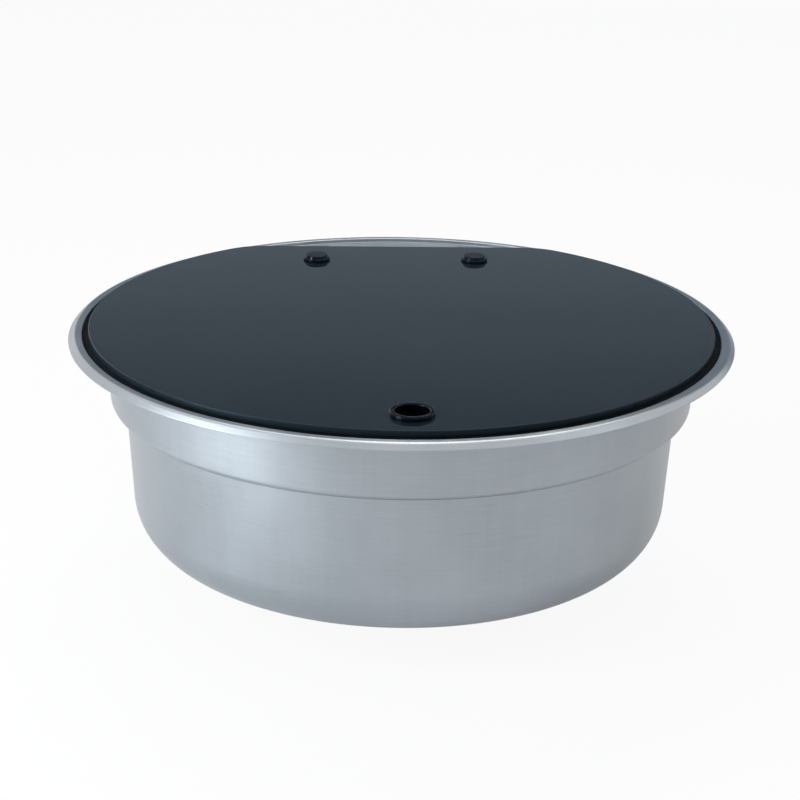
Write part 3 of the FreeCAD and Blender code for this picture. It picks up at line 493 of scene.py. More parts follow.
def easedCopy(node, width):
    # the node's own solid with its sharp edges eased
    bm = bmesh.new()
    bm.from_mesh(frame["nodes"][node].data)
    bmesh.ops.remove_doubles(bm, verts=bm.verts, dist=tolerance["merge"])
    flat = radians(bevel["flatAngle"])
    bmesh.ops.dissolve_limit(bm, angle_limit=flat, verts=bm.verts, edges=bm.edges)
    piece = objectFrom(pieceName(node), bm)
    ease = piece.modifiers.new("easedEdges", "BEVEL")
    ease.width = width * mm
    ease.segments = bevel["segments"]
    ease.limit_method = "ANGLE"
    ease.angle_limit = radians(bevel["edgeAngle"])
    return handOver(settle(piece), node)


# geometry trees

treeSides = {"threadTurn": 48, "thread": 6, "ridgeTurn": 72, "ridge": 8, "drill": 32}
stationParts = ("radius", "back", "corner", "row", "level")


def startTree(name, **inputs):
    tree = bpy.data.node_groups.new(name, "GeometryNodeTree")
    tree.interface.new_socket("Geometry", in_out="INPUT", socket_type="NodeSocketGeometry")
    for label, kind in inputs.items():
        tree.interface.new_socket(label, in_out="INPUT", socket_type="NodeSocket" + kind)
    tree.interface.new_socket("Finish", in_out="INPUT", socket_type="NodeSocketMaterial")
    tree.interface.new_socket("Geometry", in_out="OUTPUT", socket_type="NodeSocketGeometry")
    return tree, tree.nodes.new("NodeGroupInput").outputs


def endTree(tree, geometry, given):
    whole = outputOf(tree, "GeometryNodeRealizeInstances", {"Geometry": geometry})
    feeds = {"Geometry": whole, "Material": given["Finish"]}
    dressed = outputOf(tree, "GeometryNodeSetMaterial", feeds)
    tree.links.new(dressed, tree.nodes.new("NodeGroupOutput").inputs[0])
    return tree


def joined(tree, *parts):
    join = tree.nodes.new("GeometryNodeJoinGeometry")
    for part in parts:
        tree.links.new(part, join.inputs[0])
    return join.outputs[0]


def moved(tree, geometry, place):
    return outputOf(tree, "GeometryNodeTransform", {"Geometry": geometry, "Translation": place})


def roundLine(tree, sides, radius):
    feeds = {"Resolution": sides, "Radius": radius}
    return outputOf(tree, "GeometryNodeCurvePrimitiveCircle", feeds, "Curve")


def carried(tree, path, section, **settings):
    # a section carried along a path
    feeds = {"Curve": path, "Profile Curve": section}
    feeds.update(settings)
    return outputOf(tree, "GeometryNodeCurveToMesh", feeds)


def grow(piece, tree, node, **values):
    # runs a tree on a node's piece and keeps the result as its mesh
    run = piece.modifiers.new(tree.name, "NODES")
    run.node_group = tree
    values["Finish"] = finishes[slotOf[node]]
    for socket in tree.interface.items_tree:
        if socket.in_out == "INPUT" and socket.name in values:
            run[socket.identifier] = values[socket.name]
    return turnOut(settle(piece))


def sweepTree():
    # carries the stations of a line round a circle that is cut straight at the back
    tree, given = startTree("flatBackedSweep", Around="Int", Stations="Int")

    def do(operation, *values):
        return calc(tree, operation, *values)

    rowLength = do("ADD", given["Stations"], 1)
    feeds = {"Vertices X": do("ADD", given["Around"], 1), "Vertices Y": rowLength}
    grid = outputOf(tree, "GeometryNodeMeshGrid", feeds, "Mesh")
    index = outputOf(tree, "GeometryNodeInputIndex")
    column = do("FLOOR", do("DIVIDE", index, rowLength))
    station = do("MODULO", do("MODULO", index, rowLength), given["Stations"])

    def read(name):
        stored = outputOf(tree, "GeometryNodeInputNamedAttribute", {"Name": name}, data_type="FLOAT")
        feeds = {"Geometry": given["Geometry"], "Value": stored, "Index": station}
        return outputOf(tree, "GeometryNodeSampleIndex", feeds, data_type="FLOAT", domain="POINT")

    radius, back, corner, row, level = [read(name) for name in stationParts]
    angle = do("MULTIPLY", column, do("DIVIDE", 2 * pi, given["Around"]))
    across, ahead = do("COSINE", angle), do("SINE", angle)
    side = do("ABSOLUTE", across)
    inner = do("SUBTRACT", radius, corner)      # the corner's middle is wide to the side, high at the back
    high = do("SUBTRACT", back, corner)
    innerSquare = do("MULTIPLY", inner, inner)
    cornerSquare = do("SUBTRACT", innerSquare, do("MULTIPLY", high, high))
    wide = do("SQRT", do("MAXIMUM", cornerSquare, 0))
    atBack = do("GREATER_THAN", do("MULTIPLY", ahead, wide), do("MULTIPLY", side, high))
    flat = do("DIVIDE", back, do("MAXIMUM", ahead, 0.01))               # never a division by nothing
    pastFlat = do("GREATER_THAN", do("MULTIPLY", flat, side), wide)
    along = do("MULTIPLY_ADD", side, wide, do("MULTIPLY", ahead, high))
    under = do("SUBTRACT", do("MULTIPLY", corner, corner), innerSquare)
    under = do("MULTIPLY_ADD", along, along, under)
    bend = do("ADD", along, do("SQRT", do("MAXIMUM", under, 0)))
    backReach = do("MULTIPLY_ADD", pastFlat, do("SUBTRACT", bend, flat), flat)
    reach = do("MULTIPLY_ADD", atBack, do("SUBTRACT", backReach, radius), radius)
    spot = outputOf(tree, "ShaderNodeCombineXYZ", {
        "X": do("MULTIPLY", reach, across),
        "Y": do("MULTIPLY_ADD", reach, ahead, row),
        "Z": level,
    })
    shell = outputOf(tree, "GeometryNodeSetPosition", {"Geometry": grid, "Position": spot})
    feeds = {"Geometry": shell, "Distance": tolerance["merge"]}
    return endTree(tree, outputOf(tree, "GeometryNodeMergeByDistance", feeds), given)


def stripTree():
    # a section carried along an arc that leaves a gap at the back
    tree, given = startTree("stripRound", Radius="Float", Gap="Float", Around="Int")
    section = outputOf(tree, "GeometryNodeMeshToCurve", {"Mesh": given["Geometry"]})
    half = calc(tree, "MULTIPLY", given["Gap"], 0.5)
    arc = outputOf(tree, "GeometryNodeCurveArc", {
        "Resolution": given["Around"],
        "Radius": given["Radius"],
        "Start Angle": calc(tree, "ADD", half, pi / 2),
        "Sweep Angle": calc(tree, "SUBTRACT", 2 * pi, given["Gap"]),
    }, "Curve")
    level = outputOf(tree, "GeometryNodeSetCurveNormal", {"Curve": arc}, mode="Z_UP")
    return endTree(tree, carried(tree, level, section, **{"Fill Caps": True}), given)


def tubeTree():
    # a round section carried along a drawn line
    tree, given = startTree("tubeAlong", Radius="Float", Sides="Int")
    path = outputOf(tree, "GeometryNodeMeshToCurve", {"Mesh": given["Geometry"]})
    section = roundLine(tree, given["Sides"], given["Radius"])
    return endTree(tree, carried(tree, path, section), given)


def threadTree():
    # a screw thread wound round a turned piece
    tree, given = startTree("threadOn", Radius="Float", Turns="Float", Length="Float", Depth="Float",
                            Place="Vector")
    spiral = outputOf(tree, "GeometryNodeCurveSpiral", {
        "Resolution": treeSides["threadTurn"],
        "Rotations": given["Turns"],
        "Start Radius": given["Radius"],
        "End Radius": given["Radius"],
        "Height": given["Length"],
    })
    section = roundLine(tree, treeSides["thread"], given["Depth"])
    wound = carried(tree, spiral, section, **{"Fill Caps": True})
    return endTree(tree, joined(tree, given["Geometry"], moved(tree, wound, given["Place"])), given)


def ridgeTree():
    # round ridges in a row along a hose tail
    tree, given = startTree("ridgesOn", Radius="Float", Depth="Float", Count="Int", First="Vector",
                            Step="Vector", Turn="Vector")
    path = roundLine(tree, treeSides["ridgeTurn"], given["Radius"])
    section = roundLine(tree, treeSides["ridge"], given["Depth"])
    feeds = {"Count": given["Count"], "Start Location": given["First"], "Offset": given["Step"]}
    line = outputOf(tree, "GeometryNodeMeshLine", feeds, mode="OFFSET")
    feeds = {"Points": line, "Instance": carried(tree, path, section), "Rotation": given["Turn"]}
    row = outputOf(tree, "GeometryNodeInstanceOnPoints", feeds)
    return endTree(tree, joined(tree, given["Geometry"], row), given)


def drillTree():
    # holes in a circle, cut through a piece
    tree, given = startTree("drillRound", Hole="Float", Circle="Float", Count="Int", Depth="Float",
                            Place="Vector")
    feeds = {"Vertices": given["Count"], "Radius": given["Circle"]}
    spots = moved(tree, outputOf(tree, "GeometryNodeMeshCircle", feeds), given["Place"])
    feeds = {"Vertices": treeSides["drill"], "Radius": given["Hole"], "Depth": given["Depth"]}
    drill = outputOf(tree, "GeometryNodeMeshCylinder", feeds, "Mesh")
    drills = outputOf(tree, "GeometryNodeInstanceOnPoints", {"Points": spots, "Instance": drill})
    tools = outputOf(tree, "GeometryNodeRealizeInstances", {"Geometry": drills})
    feeds = {0: given["Geometry"], 1: tools}
    cut = outputOf(tree, "GeometryNodeMeshBoolean", feeds, operation="DIFFERENCE", solver="EXACT")
    return endTree(tree, cut, given)


sweepRound, stripRound, tubeAlong = sweepTree(), stripTree(), tubeTree()
threadOn, ridgesOn, drillRound = threadTree(), ridgeTree(), drillTree()
print("geometry trees: 6")


def drillHoles(piece, node, hole, circle, count, depth):
    centre, _, bottom, _ = nodeSpan(node)
    grow(piece, drillRound, node, Hole=hole * mm, Circle=circle * mm, Count=count, Depth=depth * mm,
         Place=(*centre, bottom * mm))


# pressed bowl

bowl = {
    "sheet": 0.8,
    "rimWidth": 8.5, "rimHeight": 3.8, "rimFlat": 5.2, "rimLip": 0.5, "rimFoot": 0.7,
    "crownRound": 3.6, "edgeRound": 0.6, "lipRound": 0.2,
    "ledgeWidth": 16.5, "bendRound": 1.2,
    "stepWidth": 9.4, "stepDepth": 40.5, "stepRound": 4,
    "depth": 138, "draft": 3.2, "creaseRound": 3.0, "floorRound": 34,
    "platformDepth": 87.6, "cornerRound": 45,
    "drainRow": -35, "drainRecess": 41.5, "drainDrop": 2.2, "drainHole": 22.3, "drainRound": 0.7,
    "tapRow": 128, "tapHole": 13.5, "tapDrill": 5,
    "around": 512, "bendSteps": 6, "mouthSteps": 8, "floorSteps": 16,
}


def bowlWall(radius, back, corner, top, bottom, mouthRound, floorRound):
    # stations down a drafted wall: round the mouth, then round the floor
    slope = radians(bowl["draft"])
    mouthInset = -mouthRound * (1 - sin(slope)) / cos(slope)
    floorMiddle = bottom + floorRound
    floorInset = (floorRound - (floorMiddle - top) * sin(slope)) / cos(slope)

    def arc(inset, z, size, start, end, steps):
        angles = [start + (end - start) * k / steps for k in range(steps + 1)]
        return [(inset + size * cos(a), z + size * sin(a)) for a in angles]

    spots = arc(mouthInset, top - mouthRound, mouthRound, pi / 2, slope, bowl["mouthSteps"])
    spots += arc(floorInset, floorMiddle, floorRound, pi + slope, pi * 3 / 2, bowl["floorSteps"])
    return [(radius - inset, back - inset, corner - inset, 0, z) for inset, z in spots]


def pressedBowl():
    b = bowl
    sheet = b["sheet"]
    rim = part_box("bowl_shell")[1].x / mm
    recess = rim - b["rimWidth"]
    collar = recess - b["ledgeWidth"]
    wall = collar - b["stepWidth"]
    back = wall - b["platformDepth"]
    rimOutline = [
        (wall, sheet - b["stepDepth"], 0),
        (collar - sheet, sheet - b["stepDepth"], b["stepRound"] - sheet),
        (collar - sheet, sheet, b["bendRound"] + sheet),
        (recess, sheet, b["bendRound"] - sheet / 2),
        (recess, b["rimHeight"], b["edgeRound"]),
        (recess + b["rimFlat"], b["rimHeight"], b["crownRound"]),
        (rim, b["rimLip"], b["lipRound"]),
        (rim, 0, b["lipRound"]),
        (rim - b["rimFoot"], 0, b["lipRound"]),
        (recess + b["rimFlat"] - sheet / 2, b["rimHeight"] - sheet, b["crownRound"] - sheet),
        (recess + sheet, b["rimHeight"] - sheet, sheet),
        (recess + sheet, 0, sheet),
        (collar, 0, b["bendRound"]),
        (collar, -b["stepDepth"], b["stepRound"]),
        (wall, -b["stepDepth"], 0),
    ]
    floorTop = sheet - b["depth"]
    dishFloor = floorTop - b["drainDrop"]
    outward = b["drainRecess"] * 2              # any place out on the floor
    drainOutline = [
        (outward, floorTop, 0),
        (b["drainRecess"], floorTop, b["drainRound"]),
        (b["drainRecess"], dishFloor, b["drainRound"]),
        (b["drainHole"], dishFloor, 0),
        (b["drainHole"], dishFloor - sheet, 0),
        (b["drainRecess"] + sheet, dishFloor - sheet, b["drainRound"]),
        (b["drainRecess"] + sheet, -b["depth"], b["drainRound"]),
        (outward, -b["depth"], 0),
    ]
    inside = bowlWall(wall - sheet, back - sheet, b["cornerRound"] - sheet, sheet - b["stepDepth"],
                      floorTop, b["creaseRound"] + sheet, b["floorRound"] - sheet)
    outside = bowlWall(wall, back, b["cornerRound"], -b["stepDepth"], -b["depth"],
                       b["creaseRound"], b["floorRound"])

    def circles(outline, row):
        # the end points only lead into the first and the last rounding
        spots = roundedOutline(outline, False, b["bendSteps"])[1:-1]
        return [(p.x / mm, p.x / mm, 0, row, p.y / mm) for p in spots]

    stations = circles(drainOutline, b["drainRow"]) + outside[::-1] + circles(rimOutline, 0)[::-1] + inside
    line = outlineObject("bowlShell", [(0, 0, i * mm) for i in range(len(stations))], False)
    for k, name in enumerate(stationParts):
        stored = line.data.attributes.new(name, "FLOAT", "POINT")
        stored.data.foreach_set("value", [station[k] * mm for station in stations])
    grow(line, sweepRound, "bowl_shell", Around=b["around"], Stations=len(stations))
    level = -b["stepDepth"]
    hole = rod("tapHole", b["tapHole"], level - b["tapDrill"], level + b["tapDrill"], (0, b["tapRow"] * mm))
    handOver(combine(line, hole), "bowl_shell")


pressedBowl()
print("bowl pressed")


# rubber seal on the ledge

seal = {"width": 12.8, "slope": 4.2, "edge": 0.9, "edgeRound": 0.25, "grooves": 2, "groove": 0.6, "gap": 84,
        "around": 256, "roundSteps": 3}


def rubberSeal():
    _, outer, bottom, top = nodeSpan("lid_seal")
    inner = outer - seal["width"]
    edge, soft, groove = seal["edge"], seal["edgeRound"], seal["groove"]
    start, end = outer - seal["slope"], inner + edge
    corners = [(outer - edge, bottom, soft), (outer, bottom + edge, soft), (start, top, soft)]
    for k in range(seal["grooves"]):
        middle = start + (end - start) * (k + 1) / (seal["grooves"] + 1)
        corners += [(middle + groove, top, "root"), (middle, top - groove, "fine"),
                    (middle - groove, top, "root")]
    corners += [(end, top, soft), (inner, top - edge, soft), (inner, bottom, soft)]
    section = [(p.x - inner * mm, -p.y, 0) for p in roundedOutline(corners, True, seal["roundSteps"])]
    piece = outlineObject("lidSeal", section, True)
    grow(piece, stripRound, "lid_seal", Radius=inner * mm, Gap=radians(seal["gap"]), Around=seal["around"])
    handOver(piece, "lid_seal")


rubberSeal()
print("seal laid")


# glass lid

lid = {"arris": 0.6, "corner": 40, "ringWall": 1.6, "studHole": 4.2, "around": 512, "holeSides": 72,
       "steps": 5}


def lidOutline(radius, back, corner):
    # a round plate cut straight across at the back, as plan points
    high = back - corner
    wide = sqrt((radius - corner) ** 2 - high ** 2)
    points = []
    for i in range(lid["around"]):
        angle = 2 * pi * i / lid["around"]
        c, s = cos(angle), sin(angle)
        reach = radius
        if s * wide > abs(c) * high:
            reach = back / s
            if abs(reach * c) > wide:
                reach = reachOfArc(wide, high, corner, abs(c), s)
        points.append((reach * c * mm, reach * s * mm))
    return points


def glassLid():
    low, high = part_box("lid_glass")
    radius, back, bottom, top = high.x / mm, high.y / mm, low.z / mm, high.z / mm
    arris = lid["arris"]
    edge = quarterRound(arris, lid["steps"])
    levels = [(inset, bottom + arris - rise) for inset, rise in edge[::-1]]
    levels += [(inset, top - arris + rise) for inset, rise in edge]
    bm = bmesh.new()
    rim = []
    for inset, z in levels:
        plan = lidOutline(radius - inset, back - inset, lid["corner"] - inset)
        rim.append([bm.verts.new((*spot, z * mm)) for spot in plan])
    walls = [rim]
    ringCentre, ringNut, _, _ = nodeSpan("finger_ring_nut")
    holes = [(ringCentre, ringNut - lid["ringWall"])]
    holes += [(nodeSpan("glass_bush_" + side)[0], lid["studHole"]) for side in ("left", "right")]
    for centre, hole in holes:
        rings = [ringAt((hole + inset) * mm, z * mm, centre, lid["holeSides"]) for inset, z in levels]
        walls.append([[bm.verts.new(spot) for spot in ring] for ring in rings])
    for rows in walls:
        for lowRow, highRow in zip(rows, rows[1:]):
            for i in range(len(lowRow)):
                face = bm.faces.new((lowRow[i - 1], lowRow[i], highRow[i], highRow[i - 1]))
                face.material_index = 1
    for level in (0, -1):
        outlines = [rows[level] for rows in walls]
        edges = [bm.edges.get((row[i - 1], row[i])) for row in outlines for i in range(len(row))]
        bmesh.ops.triangle_fill(bm, edges=edges, use_beauty=True)
    piece = objectFrom("lidGlass", bm)
    piece.data.materials.append(finishes["lid_glass"])
    piece.data.materials.append(glassEdge)
    handOver(turnOut(piece), "lid_glass")


glassLid()
print("lid cut")


# hinges and the pieces clamped through the glass

hingeCap = {"topHeight": 2, "topRadius": 7.4, "flare": 0.9, "baseHeight": 1.2, "stud": 3, "topRound": 0.5,
            "baseRound": 0.5, "neckRound": 0.25}
glassBush = {"bore": 3.1, "wall": 1, "flange": 0.6, "padRound": 0.25}
hingeEdge = {"leaf": 0.25, "arm": 0.25}
hexNut = {"capBore": 3.05, "backBore": 13.05, "slant": 30, "flatShare": 0.97, "mouth": 0.3}
hingePin = {"headLength": 0.6, "shank": 1.35, "neckRound": 0.05, "sides": 48}


def hexagonNut(node, bore):
    # a hexagon with its corners turned off, drilled through
    centre, corner, bottom, top = nodeSpan(node)

    def barrel(name, end, reach, middle, inset):
        # turned, and the same at both ends
        low, high = bottom - reach, top + reach
        return turned(name, [(0, low, 0), (end, low, 0), (middle, bottom + inset, 0),
                             (middle, top - inset, 0), (end, high, 0), (0, high, 0)], centre)

    piece = rod(pieceName(node), corner, bottom, top, centre, 6)
    face = corner * cos(pi / 6) * hexNut["flatShare"]
    drop = (corner - face) * tan(radians(hexNut["slant"]))
    combine(piece, barrel("nutLens", face, 0, corner, drop), "INTERSECT")
    mouth = hexNut["mouth"]
    combine(piece, barrel("nutBore", bore + mouth + overshoot, overshoot, bore, mouth))
    handOver(turnOut(piece), node)


def hingePieces(side):
    cap, bush, pin = [name + side for name in ("hinge_cap_", "glass_bush_", "hinge_pin_")]
    _, radius, _, top = nodeSpan(cap)
    step = top - hingeCap["topHeight"]
    seat = step - hingeCap["baseHeight"]
    crown = (hingeCap["topRadius"] + hingeCap["flare"], hingeCap["topRadius"])
    turnAndFit(
        cap,
        (hingeCap["stud"], seat, "blunt", "root"),
        (radius, step, "fine", hingeCap["baseRound"]),
        (crown, top, hingeCap["neckRound"], hingeCap["topRound"]),
    )
    _, radius, bottom, top = nodeSpan(bush)
    bore = glassBush["bore"]
    turnAndFit(
        bush,
        (bore + glassBush["wall"], top - glassBush["flange"], "fine", "root"),
        (radius, top, "root", "fine"),
        (bore, bottom, "root", "fine"),
    )
    pressedRing("arm_pad_" + side, bore, glassBush["padRound"])
    hexagonNut("cap_nut_" + side, hexNut["capBore"])
    easedCopy("hinge_leaf_" + side, hingeEdge["leaf"])
    easedCopy("hinge_arm_" + side, hingeEdge["arm"])
    low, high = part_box(pin)
    half, head = (high.x - low.x) / 2 / mm, (high.z - low.z) / 2 / mm
    neck = half - hingePin["headLength"]
    piece = turned(pieceName(pin), stepped(
        -half,
        (head, -neck, "soft", "root"),
        (hingePin["shank"], neck, hingePin["neckRound"], hingePin["neckRound"]),
        (head, half, "root", "soft"),
    ), count=hingePin["sides"])
    handOver(moveMesh(piece, Matrix.Translation((low + high) / 2) @ Matrix.Rotation(pi / 2, 4, "Y")), pin)


for side in ("left", "right"):
    hingePieces(side)
print("hinges fitted")


# finger ring

fingerRing = {"bore": 9.75, "barrel": 10.95, "flange": 3, "round": 1.35, "sides": 128}
fingerNut = {"bore": 11, "grips": 10, "grip": 1.1, "gripOffset": 0.4, "gripDepth": 20, "sides": 128}


def fingerHole():
    f, n = fingerRing, fingerNut
    _, radius, bottom, top = nodeSpan("finger_ring")
    turnAndFit(
        "finger_ring",
        (f["barrel"], top - f["flange"], "edge", "root"),
        (radius, top, "soft", f["round"]),
        (f["bore"], bottom, f["round"], "soft"),
        sides=f["sides"],
    )
    _, radius, bottom, top = nodeSpan("finger_ring_nut")
    nut = turnedPiece(
        "finger_ring_nut",
        (radius, top, "edge", "fine"),
        (n["bore"], bottom, "root", "fine"),
        sides=n["sides"],
    )
    drillHoles(nut, "finger_ring_nut", n["grip"], radius + n["gripOffset"], n["grips"], n["gripDepth"])
    handOver(nut, "finger_ring_nut")


fingerHole()
print("finger ring fitted")


# drain fitting

drain = {"sheet": 1, "cup": 21.5, "cupRound": 1.6, "insideRound": 0.8, "screwHole": 2.7, "holes": 6,
         "hole": 3, "holeCircle": 12, "drill": 6, "gasketBore": 22.3, "sides": 128}
waste = {
    "body": 27, "wall": 2.5, "baseRound": 2, "shoulderRound": 0.8,
    "flange": 34, "flangeHeight": 3.3,
    "cupDrop": 16.5, "cupRound": 1.5,
    "boss": 5, "bossRound": 0.8, "socket": 2.55, "socketDepth": 9.2,
    "spigot": 10, "spigotWall": 2, "spigotReach": 75, "spigotLift": 12.5, "spigotRound": 0.8,
    "stop": 11.8, "stopReach": 30, "boreGap": 2, "outletSides": 72,
    "ridges": 5, "ridge": 0.5, "ridgeInset": 5, "ridgePitch": 6,
}
wasteScrew = {"shank": 2.5, "tipRound": 0.6, "headHeight": 2.5, "headRound": 1.6, "slot": 0.9,
              "slotDepth": 1.3, "sides": 64}


def lieDown(piece, centre, z):
    # an upright turned piece laid along the sink's depth
    return moveMesh(piece, Matrix.Translation((centre[0], 0, z * mm)) @ Matrix.Rotation(-pi / 2, 4, "X"))


def drainFlange():
    d = drain
    _, radius, bottom, top = nodeSpan("waste_flange")
    cup, sheet = d["cup"], d["sheet"]
    flange = turnedPiece(
        "waste_flange",
        (cup, top - sheet, d["cupRound"], "soft"),
        (radius, top, "edge", "blunt"),
        (cup - sheet, bottom + sheet, d["insideRound"], d["insideRound"]),
        (d["screwHole"], bottom, 0, 0),
        sides=d["sides"],
    )
    drillHoles(flange, "waste_flange", d["hole"], d["holeCircle"], d["holes"], d["drill"])
    handOver(flange, "waste_flange")
    for side in ("top", "bottom"):
        pressedRing("waste_" + side + "_gasket", d["gasketBore"], "edge")


def drainBody():
    w = waste
    centre, _, _, _ = nodeSpan("waste_flange")
    _, _, base, rim = nodeSpan("waste_body")
    row = centre[1] / mm
    cup = w["body"] - w["wall"]
    cupLevel = base + w["cupDrop"]
    body = turned("wasteBody", stepped(
        base,
        (w["body"], rim - w["flangeHeight"], w["baseRound"], w["shoulderRound"]),
        (w["flange"], rim, "soft", "edge"),
        (cup, base + w["wall"], "edge", w["cupRound"]),
        (w["boss"], cupLevel, w["bossRound"], "edge"),
        (w["socket"], cupLevel - w["socketDepth"], "edge", 0),
    ), centre)
    tail = w["spigot"] - w["ridge"]
    end = row + w["spigotReach"]
    level = base + w["spigotLift"]
    outlet = turned("outlet", stepped(
        row,
        (w["stop"], row + w["stopReach"], 0, "blunt"),
        (tail, end, "edge", w["spigotRound"]),
    ), count=w["outletSides"])
    lieDown(outlet, centre, level)
    combine(outlet, rod("insideWall", cup + w["wall"] / 2, base - overshoot, rim + overshoot, centre))
    combine(body, outlet, "UNION")
    bore = rod("outletBore", w["spigot"] - w["spigotWall"], row + w["boss"] + w["boreGap"], end + overshoot)
    combine(body, lieDown(bore, centre, level))
    turnOut(body)
    grow(body, ridgesOn, "waste_body", Radius=tail * mm, Depth=w["ridge"] * mm, Count=w["ridges"],
         First=(0, (end - w["ridgeInset"]) * mm, level * mm), Step=(0, -w["ridgePitch"] * mm, 0),
         Turn=(pi / 2, 0, 0))
    handOver(body, "waste_body")


def drainScrew():
    w = wasteScrew
    centre, radius, _, top = nodeSpan("waste_screw")
    screw = turnedPiece(
        "waste_screw",
        (w["shank"], top - w["headHeight"], w["tipRound"], "root"),
        (radius, top, "fine", w["headRound"]),
        sides=w["sides"],
    )
    row, half, reach = centre[1] / mm, w["slot"] / 2, radius + overshoot
    combine(screw, block("screwSlot", (-reach, row - half, top - w["slotDepth"]),
                         (reach, row + half, top + overshoot)))
    handOver(turnOut(screw), "waste_screw")


drainFlange()
drainBody()
drainScrew()
print("drain fitted")


# strainer plug

strainer = {"sheet": 0.8, "wall": 18.9, "bottomRound": 1.2, "rimRound": 0.35, "mouthRound": 0.9,
            "insideRound": 0.6, "holes": 12, "hole": 1.9, "holeCircle": 13.5, "drill": 6, "sides": 128}
knob = {"stem": 2.5, "stemRound": 0.5, "neckRound": 0.8, "foot": 5, "footHeight": 1.2, "height": 6,
        "round": 2, "rim": 3.2, "rimRound": 1.2, "dimple": 0.7, "dimpleFloor": 1, "dimpleRound": 0.8}


def strainerPlug():
    s, k = strainer, knob
    sheet = s["sheet"]
    _, radius, bottom, top = nodeSpan("strainer_basket")
    basket = turnedPiece(
        "strainer_basket",
        (s["wall"], top - sheet, s["bottomRound"], "blunt"),
        (radius, top, "edge", s["rimRound"]),
        (s["wall"] - sheet, bottom + sheet, s["mouthRound"], s["insideRound"]),
        (k["stem"], bottom, 0, 0),
        sides=s["sides"],
    )
    drillHoles(basket, "strainer_basket", s["hole"], s["holeCircle"], s["holes"], s["drill"])
    handOver(basket, "strainer_basket")
    pressedRing("strainer_seal", s["wall"], "soft")
    _, radius, bottom, top = nodeSpan("strainer_knob")
    floor = bottom + sheet
    turnAndFit(
        "strainer_knob",
        (k["stem"], floor, "fine", 0),
        (k["foot"], floor + k["footHeight"], "root", "soft"),
        (k["stem"], top - k["height"], k["stemRound"], k["neckRound"]),
        (radius, top, k["round"], k["round"]),
        ((radius - k["rim"], k["dimpleFloor"]), top - k["dimple"], k["rimRound"], k["dimpleRound"]),
    )


strainerPlug()
print("strainer set in")


# tap body, washer, nut and cartridge

tap = {
    "waterway": 3.5, "rootRound": 0.6, "sides": 128,
    "tail": 5, "tailLength": 22,
    "ridges": 3, "ridge": 0.35, "ridgeInset": 4, "ridgePitch": 5,
    "shank": 13, "shankLength": 34,
    "threadDepth": 0.6, "threadLength": 21, "threadPitch": 1.75, "threadLift": 0.05, "crestGap": 0.01,
    "runOut": 1,
    "flangeHeight": 5, "flangeRound": 2,
    "stem": 12, "cartridge": 8.05, "cartridgeDepth": 9,
    "hole": 13.5, "ringEdge": 0.01,
}
cartridge = {"body": 8, "flangeHeight": 3, "spindle": 3, "spindleLength": 5, "spindleStep": 0.3, "depth": 9}


def tapBase():
    t = tap
    centre, radius, bottom, top = nodeSpan("tap_body")
    shankEnd = bottom + t["tailLength"]
    seat = shankEnd + t["shankLength"]
    flangeTop = seat + t["flangeHeight"]
    tail = t["tail"] - t["ridge"]
    core = t["shank"] - t["threadDepth"]
    threadTop = shankEnd + t["threadLength"] + t["runOut"]
    wellFloor = top - t["cartridgeDepth"]
    body = turned("tapBody", [
        (t["waterway"], bottom, "edge"),
        (tail, bottom, "blunt"),
        (tail, shankEnd, t["rootRound"]),
        (core, shankEnd, t["rootRound"]),
        (core, threadTop, "edge"),
        (t["shank"], threadTop + t["threadDepth"], 0),
        (t["shank"], seat, 0),
        (radius, seat, "edge"),
        (radius, flangeTop, t["flangeRound"]),
        (t["stem"], flangeTop, t["rootRound"]),
        (t["stem"], top, "soft"),
        (t["cartridge"], top, "edge"),
        (t["cartridge"], wellFloor, 0),
        (t["waterway"], wellFloor, 0),
    ], centre, t["sides"])
    wound = t["threadLength"] - t["runOut"]
    grow(body, threadOn, "tap_body", Radius=(core + t["threadLift"]) * mm, Turns=wound / t["threadPitch"],
         Length=wound * mm, Depth=(t["threadDepth"] - t["threadLift"] - t["crestGap"]) * mm,
         Place=(*centre, (shankEnd + t["runOut"]) * mm))
    grow(body, ridgesOn, "tap_body", Radius=tail * mm, Depth=t["ridge"] * mm, Count=t["ridges"],
         First=(*centre, (bottom + t["ridgeInset"]) * mm), Step=(0, 0, t["ridgePitch"] * mm),
         Turn=(0.0, 0.0, 0.0))
    handOver(body, "tap_body")
    pressedRing("tap_gasket", t["hole"], "edge")
    pressedRing("tap_washer", t["hole"], "edge")
    hexagonNut("tap_backnut", hexNut["backBore"])
    easedCopy("tap_rings", t["ringEdge"])


def tapCartridge():
    c = cartridge
    _, radius, bottom, _ = nodeSpan("tap_cartridge")
    stemTop = bottom + c["depth"]
    flangeTop = stemTop + c["flangeHeight"]
    spindleTop = flangeTop + c["spindleStep"] + c["spindleLength"]
    turnAndFit(
        "tap_cartridge",
        (c["body"], stemTop, "blunt", 0),
        (radius, flangeTop, "edge", "blunt"),
        (c["spindle"], spindleTop, "edge", "soft"),
    )


tapBase()
tapCartridge()
print("tap bolted down")


# swivelling spout

spout = {
    "bore": 12.06, "collarWall": 4.5, "collarHeight": 17, "collarRound": 1.1, "collarSides": 128,
    "reach": 120, "tube": 6.5, "tubeWall": 1.2, "tubeInset": 1.5, "tubeSides": 48,
    "bend": 9, "bendSteps": 16, "drop": 2,
    "bead": 0.8, "beadSides": 12, "beadSteps": 64,
}
aerator = {"bore": 3, "lip": 1.6, "insert": 5.25, "sides": 64}


